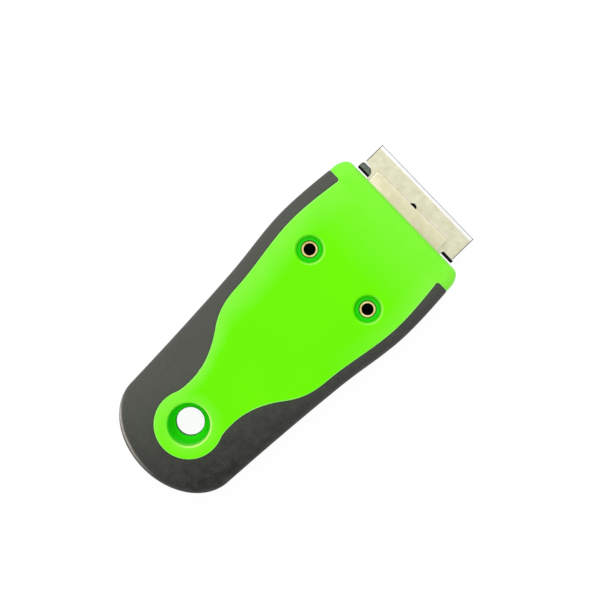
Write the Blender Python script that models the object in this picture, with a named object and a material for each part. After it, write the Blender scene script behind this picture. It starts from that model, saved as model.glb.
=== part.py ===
"""Scraper knife: a flat handle of two hard plastic halves with a soft band round its sides and tail.
Two screws draw the halves together and clamp a single-edge blade between two steel plates.

Everything is in metres. X runs across the handle, Y towards the blade's edge and Z up out of the
face, with the flat back on Z = 0. In the sizes, "reach" is a distance along Y from the tail's end.
"""

import math

import bmesh
import bpy

# Handle outline, seen from above.
HANDLE_LENGTH = 0.1051
TAIL_DEPTH = 0.0153
TAIL_HALF_WIDTH = 0.0202
TAIL_SPREAD = 0.045
WAIST_REACH = 0.058
WAIST_HALF_WIDTH = 0.0229
WAIST_SPREAD = 0.085
WIDEST_TO_FRONT = 0.0231
WIDEST_HALF_WIDTH = 0.0254
FRONT_HALF_WIDTH = 0.0243
FRONT_SPREAD = -0.10
CORNER_WIDTH = 0.0032
CORNER_DEPTH = 0.0050

# Handle thickness. The face falls a little towards the blade and is slightly crowned.
BACK_THICKNESS = 0.0060
FACE_THICKNESS = 0.0072
FACE_DROP = 0.0014
DROP_REACH = 0.050
CROWN = 0.0006
EDGE_ROUND = 0.0036
SIDE_WALL = 0.0012
FRONT_ROUND_SHARE = 0.45
CORNER_SOFTNESS = 0.006

# Soft band. The hard panel stands a little proud of it.
GRIP_THICKNESS = 0.0020
PANEL_STEP = 0.0002
GRIP_END_TO_FRONT = 0.0060
GRIP_END_ROUND = 0.0009

# Edge of the hard panel: a circle round the hanging hole, a neck, then the shoulders.
PANEL_CIRCLE_RADIUS = 0.0101
PANEL_LEAVES_CIRCLE = math.radians(22)
NECK_TO_HOLE = 0.0094
NECK_HALF_WIDTH = 0.0087
SHOULDER_TO_NECK = 0.0155
SHOULDER_HALF_WIDTH = 0.0146
SHOULDER_SPREAD = 0.74
PANEL_FULL_TO_NECK = 0.0280
PANEL_FULL_HALF_WIDTH = 0.01875
PANEL_FULL_SPREAD = 0.06
PANEL_WIDEST_TO_FRONT = 0.0254
PANEL_WIDEST_HALF_WIDTH = 0.0217
PANEL_WIDEST_SPREAD = 0.05
PANEL_END_HALF_WIDTH = 0.02035
PANEL_END_SPREAD = -0.12

# Hanging hole: a funnel from the face, a bowl below it and a throat in the back half.
HOLE_REACH = 0.0190
HOLE_RADIUS = 0.00415
FUNNEL_RADIUS = 0.0062
FUNNEL_LIP = 0.0007
THROAT_Z = 0.0036
BOWL_HEIGHT = 0.0045
BACK_LIP = 0.0010

# Clearance between touching pieces.
GAP = 0.0003

# Blade, with a folded strip on its back edge.
BLADE_OUT = 0.0101
BLADE_WIDTH = 0.0380
BLADE_DEPTH = 0.0190
BLADE_THICKNESS = 0.00025
BLADE_BEVEL = 0.0011
BLADE_HOLE_RADIUS = 0.00127
BLADE_HOLE_TO_EDGE = 0.0064
NOTCH_DEPTH = 0.0038
NOTCH_LENGTH = 0.0042
LEFT_NOTCH_TO_EDGE = 0.0072
RIGHT_NOTCH_TO_EDGE = 0.0085
NOTCH_ROUND = 0.0012
SPINE_WIDTH = 0.0380
SPINE_DEPTH = 0.0040
SPINE_SHEET = 0.00025
SPINE_SLACK = 0.0001
SPINE_CLEARANCE = 0.00015

# Clamp plates. The upper one lies a little askew on its screws.
PLATE_THICKNESS = 0.0010
PLATE_WIDTH = 0.0360
PLATE_LENGTH = 0.0311
PLATE_SETBACK = 0.0014
PLATE_CORNER = 0.0012
PLATE_SKEW = math.radians(1.2)
PLATE_SHIFT = 0.0003
TONGUE_WIDTH = 0.0280
TONGUE_OUT = 0.0040
BED_OUT = 0.0052
STOP_WIDTH = 0.0040
STOP_SPACING = 0.0160
STOP_LENGTH = 0.0010
POCKET_SIDE_CLEARANCE = 0.0004

# Clamp screws, washers and brass inserts.
SCREW_SPACING = 0.0240
SCREW_TO_FRONT = 0.0260
THREAD_RADIUS = 0.0015
SCREW_LENGTH = 0.0086
HEAD_RADIUS = 0.0038
HEAD_HEIGHT = 0.0015
HEAD_SINK = 0.0002
SOCKET_ACROSS_FLATS = 0.0025
SOCKET_DEPTH = 0.0009
WASHER_RADIUS = 0.0045
WASHER_THICKNESS = 0.0005
PASS_RADIUS = 0.0022
WELL_RADIUS = 0.0041
WELL_FLOOR_RADIUS = 0.0035
WELL_DEPTH = 0.00175
WELL_LIP = 0.0004
INSERT_RADIUS = 0.0025
INSERT_GROOVE = 0.00025
INSERT_PROUD = 0.0002

# Ribs between the moulding's pockets, and the pins that line up the halves.
RIB_THICKNESS = 0.0016
POCKET_COLUMNS = 4
POCKET_ROWS = 4
POCKET_FIELD_HALF_WIDTH = 0.0158
POCKET_FIELD_START = 0.0310
FIELD_TO_SLOT = 0.0065
WALL = 0.0015
PIN_RADIUS = 0.0015
PIN_LENGTH = 0.0022
PIN_ROOT = 0.0010
TAIL_PIN_X = 0.0140
TAIL_PIN_REACH = 0.0255
WAIST_PIN_X = 0.0120
WAIST_PIN_TO_SLOT = 0.0033

# Values worked out from the sizes above.
TOTAL_LENGTH = HANDLE_LENGTH + BLADE_OUT
TAIL_END_Y = -TOTAL_LENGTH / 2
FRONT_Y = TAIL_END_Y + HANDLE_LENGTH
EDGE_Y = FRONT_Y + BLADE_OUT
HOLE_Y = TAIL_END_Y + HOLE_REACH
SCREW_Y = FRONT_Y - SCREW_TO_FRONT
PARTING_Z = BACK_THICKNESS
SPINE_THICKNESS = BLADE_THICKNESS + 2 * (SPINE_SHEET + SPINE_SLACK)
JAW_GAP = SPINE_THICKNESS + 2 * SPINE_CLEARANCE
BED_TOP_Z = PARTING_Z - JAW_GAP / 2
BED_BOTTOM_Z = BED_TOP_Z - PLATE_THICKNESS
TONGUE_BOTTOM_Z = PARTING_Z + JAW_GAP / 2
TONGUE_TOP_Z = TONGUE_BOTTOM_Z + PLATE_THICKNESS
POCKET_FLOOR_Z = BED_BOTTOM_Z - GAP
POCKET_ROOF_Z = TONGUE_TOP_Z + GAP
POCKET_WIDTH = max(BLADE_WIDTH, SPINE_WIDTH, PLATE_WIDTH) + 2 * POCKET_SIDE_CLEARANCE
PLATE_BACK_Y = FRONT_Y - PLATE_SETBACK - PLATE_LENGTH
SLOT_BACK_Y = PLATE_BACK_Y - PLATE_WIDTH / 2 * math.sin(PLATE_SKEW) - GAP
POCKET_FIELD_LENGTH = SLOT_BACK_Y - TAIL_END_Y - FIELD_TO_SLOT - POCKET_FIELD_START
HEAD_BOTTOM_Z = HEAD_SINK
HEAD_TOP_Z = HEAD_BOTTOM_Z + HEAD_HEIGHT
WASHER_BOTTOM_Z = HEAD_TOP_Z + GAP
WASHER_TOP_Z = WASHER_BOTTOM_Z + WASHER_THICKNESS
COUNTERBORE_TOP_Z = WASHER_TOP_Z + GAP
CUT_MARGIN = 0.0020

# Smoothness of the curved pieces.
TAIL_STEPS = 9
SIDE_STEPS = 12
CORNER_STEPS = 4
ROUND_STEPS = 4
CROWN_SHARES = (0.35, 0.65)
PANEL_CIRCLE_STEPS = 10
PANEL_SIDE_STEPS = 26
ROUND_SEGMENTS = 32
SMALL_SEGMENTS = 24
HOLE_SEGMENTS = 40
BOWL_STEPS = 5
SMOOTH_ANGLE = math.radians(32)


def clear_scene():
    for old in list(bpy.data.objects):
        bpy.data.objects.remove(old, do_unlink=True)


def make_material(name, colour, roughness, metallic=0.0):
    material = bpy.data.materials.new(name)
    material.use_nodes = True
    shader = material.node_tree.nodes["Principled BSDF"]
    shader.inputs["Base Color"].default_value = (*colour, 1.0)
    shader.inputs["Roughness"].default_value = roughness
    shader.inputs["Metallic"].default_value = metallic
    return material


def make_object(name, mesh_data, material=None, place=(0.0, 0.0, 0.0)):
    """Turns a bmesh into a named object. Its faces point out and its round sides are smooth."""
    bmesh.ops.recalc_face_normals(mesh_data, faces=mesh_data.faces)
    mesh = bpy.data.meshes.new(name)
    mesh_data.to_mesh(mesh)
    mesh_data.free()
    mesh.shade_smooth()
    mesh.set_sharp_from_angle(angle=SMOOTH_ANGLE)
    piece = bpy.data.objects.new(name, mesh)
    piece.location = place
    bpy.context.collection.objects.link(piece)
    if material is None:
        piece.hide_render = True
        piece.display_type = "WIRE"
    else:
        mesh.materials.append(material)
    return piece


def combine(piece, operation, *others):
    for other in others:
        step = piece.modifiers.new(other.name, "BOOLEAN")
        step.operation = operation
        step.solver = "EXACT"
        step.object = other


def along(stations, reach):
    """Half width at a reach, on a smooth curve through (reach, half width, spread) stations."""
    start, end = stations[0], stations[-1]
    if reach <= start[0]:
        return start[1] + start[2] * (reach - start[0])
    if reach >= end[0]:
        return end[1] + end[2] * (reach - end[0])
    for (reach_a, half_a, spread_a), (reach_b, half_b, spread_b) in zip(stations, stations[1:]):
        if reach <= reach_b:
            break
    span = reach_b - reach_a
    u = (reach - reach_a) / span
    from_a = (1 + 2 * u) * (1 - u) ** 2 * half_a + u * (1 - u) ** 2 * span * spread_a
    from_b = u * u * (3 - 2 * u) * half_b - u * u * (1 - u) * span * spread_b
    return from_a + from_b


def handle_stations():
    return [
        (TAIL_DEPTH, TAIL_HALF_WIDTH, TAIL_SPREAD),
        (WAIST_REACH, WAIST_HALF_WIDTH, WAIST_SPREAD),
        (HANDLE_LENGTH - WIDEST_TO_FRONT, WIDEST_HALF_WIDTH, 0.0),
        (HANDLE_LENGTH - CORNER_DEPTH, FRONT_HALF_WIDTH, FRONT_SPREAD),
    ]


def right_side(inset):
    """The outline's right side from the tail's end to the front, drawn in, as (x, reach) points."""
    stations = handle_stations()
    tail_half = TAIL_HALF_WIDTH - inset
    tail_depth = TAIL_DEPTH * tail_half / TAIL_HALF_WIDTH
    points = [(0.0, TAIL_DEPTH - tail_depth)]
    for step in range(1, TAIL_STEPS + 1):
        turn = math.pi / 2 * step / TAIL_STEPS
        points.append((tail_half * math.sin(turn), TAIL_DEPTH - tail_depth * math.cos(turn)))
    softness = CORNER_SOFTNESS / (CORNER_SOFTNESS + inset)
    corner_width = CORNER_WIDTH * softness
    corner_depth = CORNER_DEPTH * softness
    corner_reach = HANDLE_LENGTH - FRONT_ROUND_SHARE * inset - corner_depth
    for step in range(1, SIDE_STEPS + 1):
        reach = TAIL_DEPTH + (corner_reach - TAIL_DEPTH) * step / SIDE_STEPS
        points.append((along(stations, reach) - inset, reach))
    corner_x = points[-1][0] - corner_width
    for step in range(1, CORNER_STEPS + 1):
        turn = math.pi / 2 * step / CORNER_STEPS
        x = corner_x + corner_width * math.cos(turn)
        points.append((x, corner_reach + corner_depth * math.sin(turn)))
    return points


def face_rise(reach, inset):
    """Height of the face above the parting plane."""
    u = (reach - DROP_REACH) / (HANDLE_LENGTH - DROP_REACH)
    u = min(max(u, 0.0), 1.0)
    crown_fall = CROWN * (1 - inset / TAIL_HALF_WIDTH) ** 2
    return FACE_THICKNESS - FACE_DROP * u * u * (3 - 2 * u) - crown_fall


def back_rise(reach, inset):
    """Depth of the flat back below the parting plane."""
    return BACK_THICKNESS


def half_solid(side, inset=0.0, skin=0.0, overlap=-GAP / 2):
    """One half of the handle as stacked outlines: side is 1 for the face and -1 for the back.
    inset draws its outline in, skin lowers its face, and overlap takes it past the parting plane."""
    rise = face_rise if side > 0 else back_rise
    rings = []

    def add_ring(extra, height):
        ring = []
        for x, reach in right_side(inset + extra):
            ring.append((x, TAIL_END_Y + reach, PARTING_Z + side * height(reach, inset + extra)))
        rings.append(ring)

    add_ring(0.0, lambda reach, drawn: -overlap)
    add_ring(0.0, lambda reach, drawn: SIDE_WALL)
    for step in range(1, ROUND_STEPS + 1):
        turn = math.pi / 2 * step / ROUND_STEPS
        share = math.sin(turn)
        add_ring(
            EDGE_ROUND * (1 - math.cos(turn)),
            lambda reach, drawn: SIDE_WALL + (rise(reach, drawn) - skin - SIDE_WALL) * share,
        )
    if side > 0:
        for share in CROWN_SHARES:
            extra = EDGE_ROUND + share * (TAIL_HALF_WIDTH - EDGE_ROUND - inset)
            add_ring(extra, lambda reach, drawn: rise(reach, drawn) - skin)
    return stack_rings(rings)


def stack_rings(rings):
    """Closes a pile of mirror-symmetric rings, each given by its right side from tail to front."""
    solid = bmesh.new()
    loops = []
    for ring in rings:
        right = [solid.verts.new(point) for point in ring]
        left = [solid.verts.new((-x, y, z)) for x, y, z in ring[1:]]
        loops.append((right, left))
    for (right_a, left_a), (right_b, left_b) in zip(loops, loops[1:]):
        loop_a = right_a + left_a[::-1]
        loop_b = right_b + left_b[::-1]
        for index, vertex in enumerate(loop_a):
            after = (index + 1) % len(loop_a)
            solid.faces.new((vertex, loop_a[after], loop_b[after], loop_b[index]))
    for right, left in (loops[0], loops[-1]):
        solid.faces.new((right[0], right[1], left[0]))
        for index in range(1, len(right) - 1):
            solid.faces.new((right[index], right[index + 1], left[index], left[index - 1]))
    return solid


def prism(points, low, high):
    """A straight prism over a closed outline of (x, y) points."""
    solid = bmesh.new()
    base = solid.faces.new([solid.verts.new((x, y, low)) for x, y in points])
    lifted = bmesh.ops.extrude_face_region(solid, geom=[base])
    top = [item for item in lifted["geom"] if isinstance(item, bmesh.types.BMVert)]
    bmesh.ops.translate(solid, verts=top, vec=(0.0, 0.0, high - low))
    return solid


def box(low, high):
    corners = [(low[0], low[1]), (high[0], low[1]), (high[0], high[1]), (low[0], high[1])]
    return prism(corners, low[2], high[2])


def turned(profile, segments=ROUND_SEGMENTS):
    """A solid turned about Z from a closed profile of (radius, z) points."""
    solid = bmesh.new()
    points = [solid.verts.new((radius, 0.0, z)) for radius, z in profile]
    edges = [solid.edges.new((points[i - 1], points[i])) for i in range(len(points))]
    bmesh.ops.spin(
        solid,
        geom=points + edges,
        axis=(0.0, 0.0, 1.0),
        cent=(0.0, 0.0, 0.0),
        angle=2 * math.pi,
        steps=segments,
        use_merge=True,
    )
    bmesh.ops.remove_doubles(solid, verts=solid.verts, dist=1e-7)
    axis_edges = [edge for edge in solid.edges if not edge.link_faces]
    bmesh.ops.delete(solid, geom=axis_edges, context="EDGES")
    return solid


def cylinder(radius, low, high, segments=ROUND_SEGMENTS):
    return turned([(0.0, low), (radius, low), (radius, high), (0.0, high)], segments)


def arc(centre, radius, start, end, steps):
    """Points on an arc about a centre, with its angles in degrees."""
    points = []
    for step in range(steps + 1):
        turn = math.radians(start + (end - start) * step / steps)
        points.append((centre[0] + radius * math.cos(turn), centre[1] + radius * math.sin(turn)))
    return points


def rounded_rectangle(low, high, radius, steps=4):
    points = arc((high[0] - radius, high[1] - radius), radius, 0, 90, steps)
    points += arc((low[0] + radius, high[1] - radius), radius, 90, 180, steps)
    points += arc((low[0] + radius, low[1] + radius), radius, 180, 270, steps)
    points += arc((high[0] - radius, low[1] + radius), radius, 270, 360, steps)
    return points


def panel_outline(grow):
    """The hard panel's outline, as (x, y) points, made wider by grow."""
    neck_reach = HOLE_REACH + NECK_TO_HOLE
    circle_radius = PANEL_CIRCLE_RADIUS + grow
    leave = PANEL_LEAVES_CIRCLE
    leave_reach = HOLE_REACH + circle_radius * math.sin(leave)
    stations = [
        (leave_reach, circle_radius * math.cos(leave), -math.tan(leave)),
        (neck_reach, NECK_HALF_WIDTH + grow, 0.0),
        (neck_reach + SHOULDER_TO_NECK, SHOULDER_HALF_WIDTH + grow, SHOULDER_SPREAD),
        (neck_reach + PANEL_FULL_TO_NECK, PANEL_FULL_HALF_WIDTH + grow, PANEL_FULL_SPREAD),
        (HANDLE_LENGTH - PANEL_WIDEST_TO_FRONT, PANEL_WIDEST_HALF_WIDTH + grow, PANEL_WIDEST_SPREAD),
        (HANDLE_LENGTH - GRIP_END_TO_FRONT, PANEL_END_HALF_WIDTH + grow, PANEL_END_SPREAD),
    ]
    end_reach = HANDLE_LENGTH - GRIP_END_TO_FRONT - grow
    points = []
    for step in range(PANEL_CIRCLE_STEPS):
        turn = -math.pi / 2 + (leave + math.pi / 2) * step / PANEL_CIRCLE_STEPS
        points.append((circle_radius * math.cos(turn), HOLE_REACH + circle_radius * math.sin(turn)))
    round_start = end_reach - GRIP_END_ROUND
    for step in range(PANEL_SIDE_STEPS + 1):
        reach = leave_reach + (round_start - leave_reach) * step / PANEL_SIDE_STEPS
        points.append((along(stations, reach), reach))
    corner_x = along(stations, end_reach)
    points += arc((corner_x + GRIP_END_ROUND, round_start), GRIP_END_ROUND, 157.5, 112.5, 2)
    points.append((corner_x + GRIP_END_ROUND, end_reach))
    outside = WIDEST_HALF_WIDTH + 5 * CUT_MARGIN
    points.append((outside, end_reach))
    points.append((outside, HANDLE_LENGTH + 5 * CUT_MARGIN))
    right = [(x, TAIL_END_Y + reach) for x, reach in points]
    left = [(-x, y) for x, y in reversed(right[1:])]
    return right + left


def hard_form(side, name, grow):
    """Everything that the hard plastic fills: the panel at full depth and the core inside the band."""
    low = PARTING_Z - CUT_MARGIN if side > 0 else -CUT_MARGIN
    high = PARTING_Z + FACE_THICKNESS + CUT_MARGIN if side > 0 else PARTING_Z + CUT_MARGIN
    panel = make_object(name + "_panel", prism(panel_outline(grow), low, high))
    depth = GRIP_THICKNESS + GAP / 2 - grow
    core = make_object(name + "_core", half_solid(side, depth, depth, CUT_MARGIN * 1.5))
    combine(core, "UNION", panel)
    return core


def hole_cutter(side):
    """The hanging hole: a rounded lip, a steep wall and a bowl down to the throat, with a small lip
    at the back."""
    surface = PARTING_Z + face_rise(HOLE_REACH, TAIL_HALF_WIDTH - FUNNEL_RADIUS)
    profile = [(0.0, surface + CUT_MARGIN), (FUNNEL_RADIUS + FUNNEL_LIP + CUT_MARGIN, surface + CUT_MARGIN)]
    profile += arc((FUNNEL_RADIUS + FUNNEL_LIP, surface - FUNNEL_LIP), FUNNEL_LIP, 90, 180, 3)
    bowl_width = FUNNEL_RADIUS - HOLE_RADIUS
    for x, z in arc((0.0, 0.0), 1.0, 0, -90, BOWL_STEPS):
        profile.append((HOLE_RADIUS + bowl_width * x, THROAT_Z + BOWL_HEIGHT * (1 + z)))
    profile += arc((HOLE_RADIUS + BACK_LIP, BACK_LIP), BACK_LIP, 180, 270, 3)
    profile += [(HOLE_RADIUS + BACK_LIP + CUT_MARGIN, -CUT_MARGIN), (0.0, -CUT_MARGIN)]
    name = "face_hole" if side > 0 else "back_hole"
    return make_object(name, turned(profile, HOLE_SEGMENTS), place=(0.0, HOLE_Y, 0.0))


def pocket_grid(side):
    """Weight-saving pockets behind the face, with ribs left between them."""
    depth = BACK_THICKNESS - GRIP_THICKNESS - GAP / 2 - WALL
    if side > 0:
        depth = FACE_THICKNESS - FACE_DROP / 2 - CROWN - GRIP_THICKNESS - GAP / 2 - WALL
    width = (2 * POCKET_FIELD_HALF_WIDTH - (POCKET_COLUMNS - 1) * RIB_THICKNESS) / POCKET_COLUMNS
    length = (POCKET_FIELD_LENGTH - (POCKET_ROWS - 1) * RIB_THICKNESS) / POCKET_ROWS
    levels = sorted((PARTING_Z - side * CUT_MARGIN, PARTING_Z + side * depth))
    grid = bmesh.new()
    for column in range(POCKET_COLUMNS):
        for row in range(POCKET_ROWS):
            x = -POCKET_FIELD_HALF_WIDTH + column * (width + RIB_THICKNESS)
            y = TAIL_END_Y + POCKET_FIELD_START + row * (length + RIB_THICKNESS)
            corners = [(x, y), (x + width, y), (x + width, y + length), (x, y + length)]
            low = [grid.verts.new((*corner, levels[0])) for corner in corners]
            high = [grid.verts.new((*corner, levels[1])) for corner in corners]
            grid.faces.new(low[::-1])
            grid.faces.new(high)
            for index in range(4):
                after = (index + 1) % 4
                grid.faces.new((low[index], low[after], high[after], high[index]))
    name = "face_pockets" if side > 0 else "back_pockets"
    return make_object(name, grid)


def plate_pocket(side):
    """The slot at the head that takes this half's clamp plate and half of the blade."""
    levels = sorted((POCKET_ROOF_Z if side > 0 else POCKET_FLOOR_Z, PARTING_Z - side * CUT_MARGIN))
    low = (-POCKET_WIDTH / 2, SLOT_BACK_Y, levels[0])
    high = (POCKET_WIDTH / 2, FRONT_Y + CUT_MARGIN, levels[1])
    return make_object("face_slot" if side > 0 else "back_slot", box(low, high))


def pin_places():
    tail_pins = (TAIL_PIN_X, TAIL_END_Y + TAIL_PIN_REACH)
    waist_pins = (WAIST_PIN_X, SLOT_BACK_Y - WAIST_PIN_TO_SLOT)
    for x, y in (tail_pins, waist_pins):
        for side in (-1, 1):
            yield side * x, y


def screw_places():
    return (("left", -SCREW_SPACING / 2), ("right", SCREW_SPACING / 2))


def face_z_at_screw():
    return PARTING_Z + face_rise(HANDLE_LENGTH - SCREW_TO_FRONT, WIDEST_HALF_WIDTH - SCREW_SPACING / 2)


def well_floor_z():
    return face_z_at_screw() - WELL_DEPTH


def make_front_shell(plastic):
    shell = make_object("front_shell", half_solid(1), plastic)
    combine(shell, "INTERSECT", hard_form(1, "face_form", 0.0))
    combine(shell, "DIFFERENCE", hole_cutter(1), pocket_grid(1), plate_pocket(1))
    surface = face_z_at_screw()
    floor = well_floor_z()
    well = [(0.0, floor), (WELL_FLOOR_RADIUS, floor), (WELL_RADIUS, surface - WELL_LIP)]
    well += [(WELL_RADIUS + WELL_LIP, surface), (WELL_RADIUS + WELL_LIP, surface + CUT_MARGIN)]
    well.append((0.0, surface + CUT_MARGIN))
    for name, x in screw_places():
        place = (x, SCREW_Y, 0.0)
        recess = make_object("well_" + name, turned(well), place=place)
        seat = cylinder(INSERT_RADIUS + GAP, POCKET_ROOF_Z - CUT_MARGIN, floor + CUT_MARGIN)
        combine(shell, "DIFFERENCE", recess, make_object("insert_hole_" + name, seat, place=place))
    for index, (x, y) in enumerate(pin_places()):
        pin = cylinder(PIN_RADIUS, PARTING_Z - PIN_LENGTH, PARTING_Z + PIN_ROOT, SMALL_SEGMENTS)
        combine(shell, "UNION", make_object(f"pin_{index}", pin, place=(x, y, 0.0)))
    return shell


def make_back_shell(plastic):
    shell = make_object("back_shell", half_solid(-1), plastic)
    combine(shell, "INTERSECT", hard_form(-1, "back_form", 0.0))
    combine(shell, "DIFFERENCE", hole_cutter(-1), pocket_grid(-1), plate_pocket(-1))
    for name, x in screw_places():
        place = (x, SCREW_Y, 0.0)
        bore = cylinder(WASHER_RADIUS + GAP, -CUT_MARGIN, COUNTERBORE_TOP_Z)
        passage = cylinder(PASS_RADIUS, -CUT_MARGIN / 2, POCKET_FLOOR_Z + CUT_MARGIN)
        combine(shell, "DIFFERENCE", make_object("counterbore_" + name, bore, place=place))
        combine(shell, "DIFFERENCE", make_object("passage_" + name, passage, place=place))
    for index, (x, y) in enumerate(pin_places()):
        depth = PIN_LENGTH + GAP
        socket = cylinder(PIN_RADIUS + GAP, PARTING_Z - depth, PARTING_Z + CUT_MARGIN, SMALL_SEGMENTS)
        combine(shell, "DIFFERENCE", make_object(f"socket_{index}", socket, place=(x, y, 0.0)))
    return shell


def make_grip(side, rubber):
    name = "grip_front" if side > 0 else "grip_back"
    grip = make_object(name, half_solid(side, skin=PANEL_STEP), rubber)
    combine(grip, "DIFFERENCE", hard_form(side, name + "_seat", GAP))
    return grip


def make_insert(name, x, brass):
    """A short threaded insert with a knurled band between two plain rims."""
    low = POCKET_ROOF_Z + GAP
    high = well_floor_z() + INSERT_PROUD
    rim = (high - low) / 5
    bore = THREAD_RADIUS + GAP
    waist = INSERT_RADIUS - INSERT_GROOVE
    profile = [(bore, low), (waist, low), (INSERT_RADIUS, low + rim), (INSERT_RADIUS, low + 2 * rim)]
    profile += [(waist, low + 2.2 * rim), (waist, low + 3.2 * rim), (INSERT_RADIUS, low + 3.4 * rim)]
    profile += [(INSERT_RADIUS, high), (bore, high)]
    return make_object("insert_" + name, turned(profile, SMALL_SEGMENTS), brass, (x, SCREW_Y, 0.0))


def make_screw(name, x, steel):
    """A low button-headed screw that enters from the back, with its origin on its axis."""
    tip = HEAD_TOP_Z + SCREW_LENGTH
    chamfer = THREAD_RADIUS / 3
    profile = [(0.0, HEAD_BOTTOM_Z), (HEAD_RADIUS * 0.62, HEAD_BOTTOM_Z)]
    profile += [(HEAD_RADIUS * 0.88, HEAD_BOTTOM_Z + HEAD_HEIGHT * 0.3)]
    profile += [(HEAD_RADIUS, HEAD_BOTTOM_Z + HEAD_HEIGHT * 0.75), (HEAD_RADIUS, HEAD_TOP_Z)]
    profile += [(THREAD_RADIUS, HEAD_TOP_Z), (THREAD_RADIUS, tip - chamfer)]
    profile += [(THREAD_RADIUS - chamfer, tip), (0.0, tip)]
    screw = make_object("clamp_screw_" + name, turned(profile, SMALL_SEGMENTS), steel, (x, SCREW_Y, 0.0))
    corner = SOCKET_ACROSS_FLATS / math.sqrt(3)
    socket = cylinder(corner, HEAD_BOTTOM_Z - CUT_MARGIN, HEAD_BOTTOM_Z + SOCKET_DEPTH, 6)
    combine(screw, "DIFFERENCE", make_object("socket_" + name, socket, place=(x, SCREW_Y, 0.0)))
    return screw


def make_washer(name, x, steel):
    bore = THREAD_RADIUS + GAP
    profile = [(bore, WASHER_BOTTOM_Z), (WASHER_RADIUS, WASHER_BOTTOM_Z)]
    profile += [(WASHER_RADIUS, WASHER_TOP_Z), (bore, WASHER_TOP_Z)]
    return make_object("washer_" + name, turned(profile, SMALL_SEGMENTS), steel, (x, SCREW_Y, 0.0))


def askew(x, y):
    """Where the upper plate's skew and sideways play take a point of its true outline."""
    across = x * math.cos(PLATE_SKEW) - (y - SCREW_Y) * math.sin(PLATE_SKEW)
    forward = x * math.sin(PLATE_SKEW) + (y - SCREW_Y) * math.cos(PLATE_SKEW)
    return across + PLATE_SHIFT, SCREW_Y + forward


def plate_holes(plate, low, high, place=lambda x, y: (x, y)):
    for name, x in screw_places():
        hole = cylinder(PASS_RADIUS, low - CUT_MARGIN, high + CUT_MARGIN, SMALL_SEGMENTS)
        hole_place = (*place(x, SCREW_Y), 0.0)
        cutter = make_object(plate.name + "_hole_" + name, hole, place=hole_place)
        combine(plate, "DIFFERENCE", cutter)


def make_upper_plate(steel):
    """A T-shaped plate: wide between the shells, with a narrower tongue out over the blade."""
    shoulder_y = FRONT_Y - PLATE_SETBACK
    tip_y = FRONT_Y + TONGUE_OUT
    half = PLATE_WIDTH / 2
    tongue = TONGUE_WIDTH / 2
    points = [(-half, PLATE_BACK_Y), (half, PLATE_BACK_Y), (half, shoulder_y), (tongue, shoulder_y)]
    points += [(tongue, tip_y), (-tongue, tip_y), (-tongue, shoulder_y), (-half, shoulder_y)]
    outline = [askew(x, y) for x, y in points]
    plate = make_object("upper_clamp_plate", prism(outline, TONGUE_BOTTOM_Z, TONGUE_TOP_Z), steel)
    plate_holes(plate, TONGUE_BOTTOM_Z, TONGUE_TOP_Z, askew)
    return plate


def make_lower_plate(steel):
    """The bed under the blade, with two upturned stops behind the blade's spine."""
    low = (-PLATE_WIDTH / 2, PLATE_BACK_Y)
    high = (PLATE_WIDTH / 2, FRONT_Y + BED_OUT)
    outline = rounded_rectangle(low, high, PLATE_CORNER)
    plate = make_object("lower_clamp_plate", prism(outline, BED_BOTTOM_Z, BED_TOP_Z), steel)
    plate_holes(plate, BED_BOTTOM_Z, BED_TOP_Z)
    stop_front = EDGE_Y - BLADE_DEPTH - GAP
    for name, x in (("left", -STOP_SPACING / 2), ("right", STOP_SPACING / 2)):
        near = (x - STOP_WIDTH / 2, stop_front - STOP_LENGTH, BED_BOTTOM_Z + PLATE_THICKNESS / 2)
        far = (x + STOP_WIDTH / 2, stop_front, TONGUE_BOTTOM_Z - GAP)
        combine(plate, "UNION", make_object("stop_" + name, box(near, far)))
    return plate


def make_blade(steel):
    """A flat blade with a ground edge, a notch at each side and a hole in the middle."""
    half = BLADE_THICKNESS / 2
    back_y = EDGE_Y - BLADE_DEPTH + SPINE_SHEET + SPINE_SLACK
    section = [(back_y, -half), (EDGE_Y - BLADE_BEVEL, -half), (EDGE_Y, 0.0)]
    section += [(EDGE_Y - BLADE_BEVEL, half), (back_y, half)]
    solid = bmesh.new()
    base = solid.faces.new([solid.verts.new((-BLADE_WIDTH / 2, y, PARTING_Z + z)) for y, z in section])
    lifted = bmesh.ops.extrude_face_region(solid, geom=[base])
    moved = [item for item in lifted["geom"] if isinstance(item, bmesh.types.BMVert)]
    bmesh.ops.translate(solid, verts=moved, vec=(BLADE_WIDTH, 0.0, 0.0))
    blade = make_object("razor_blade", solid, steel)
    cut_low = PARTING_Z - CUT_MARGIN
    cut_high = PARTING_Z + CUT_MARGIN
    hole = cylinder(BLADE_HOLE_RADIUS, cut_low, cut_high, SMALL_SEGMENTS)
    hole_place = (0.0, EDGE_Y - BLADE_HOLE_TO_EDGE, 0.0)
    combine(blade, "DIFFERENCE", make_object("blade_hole", hole, place=hole_place))
    for name, side, to_edge in (("left", -1, LEFT_NOTCH_TO_EDGE), ("right", 1, RIGHT_NOTCH_TO_EDGE)):
        edges = sorted((side * (BLADE_WIDTH / 2 - NOTCH_DEPTH), side * (BLADE_WIDTH / 2 + NOTCH_ROUND * 2)))
        front = EDGE_Y - to_edge
        outline = rounded_rectangle((edges[0], front - NOTCH_LENGTH), (edges[1], front), NOTCH_ROUND)
        notch = make_object("notch_" + name, prism(outline, cut_low, cut_high))
        combine(blade, "DIFFERENCE", notch)
    return blade


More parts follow.
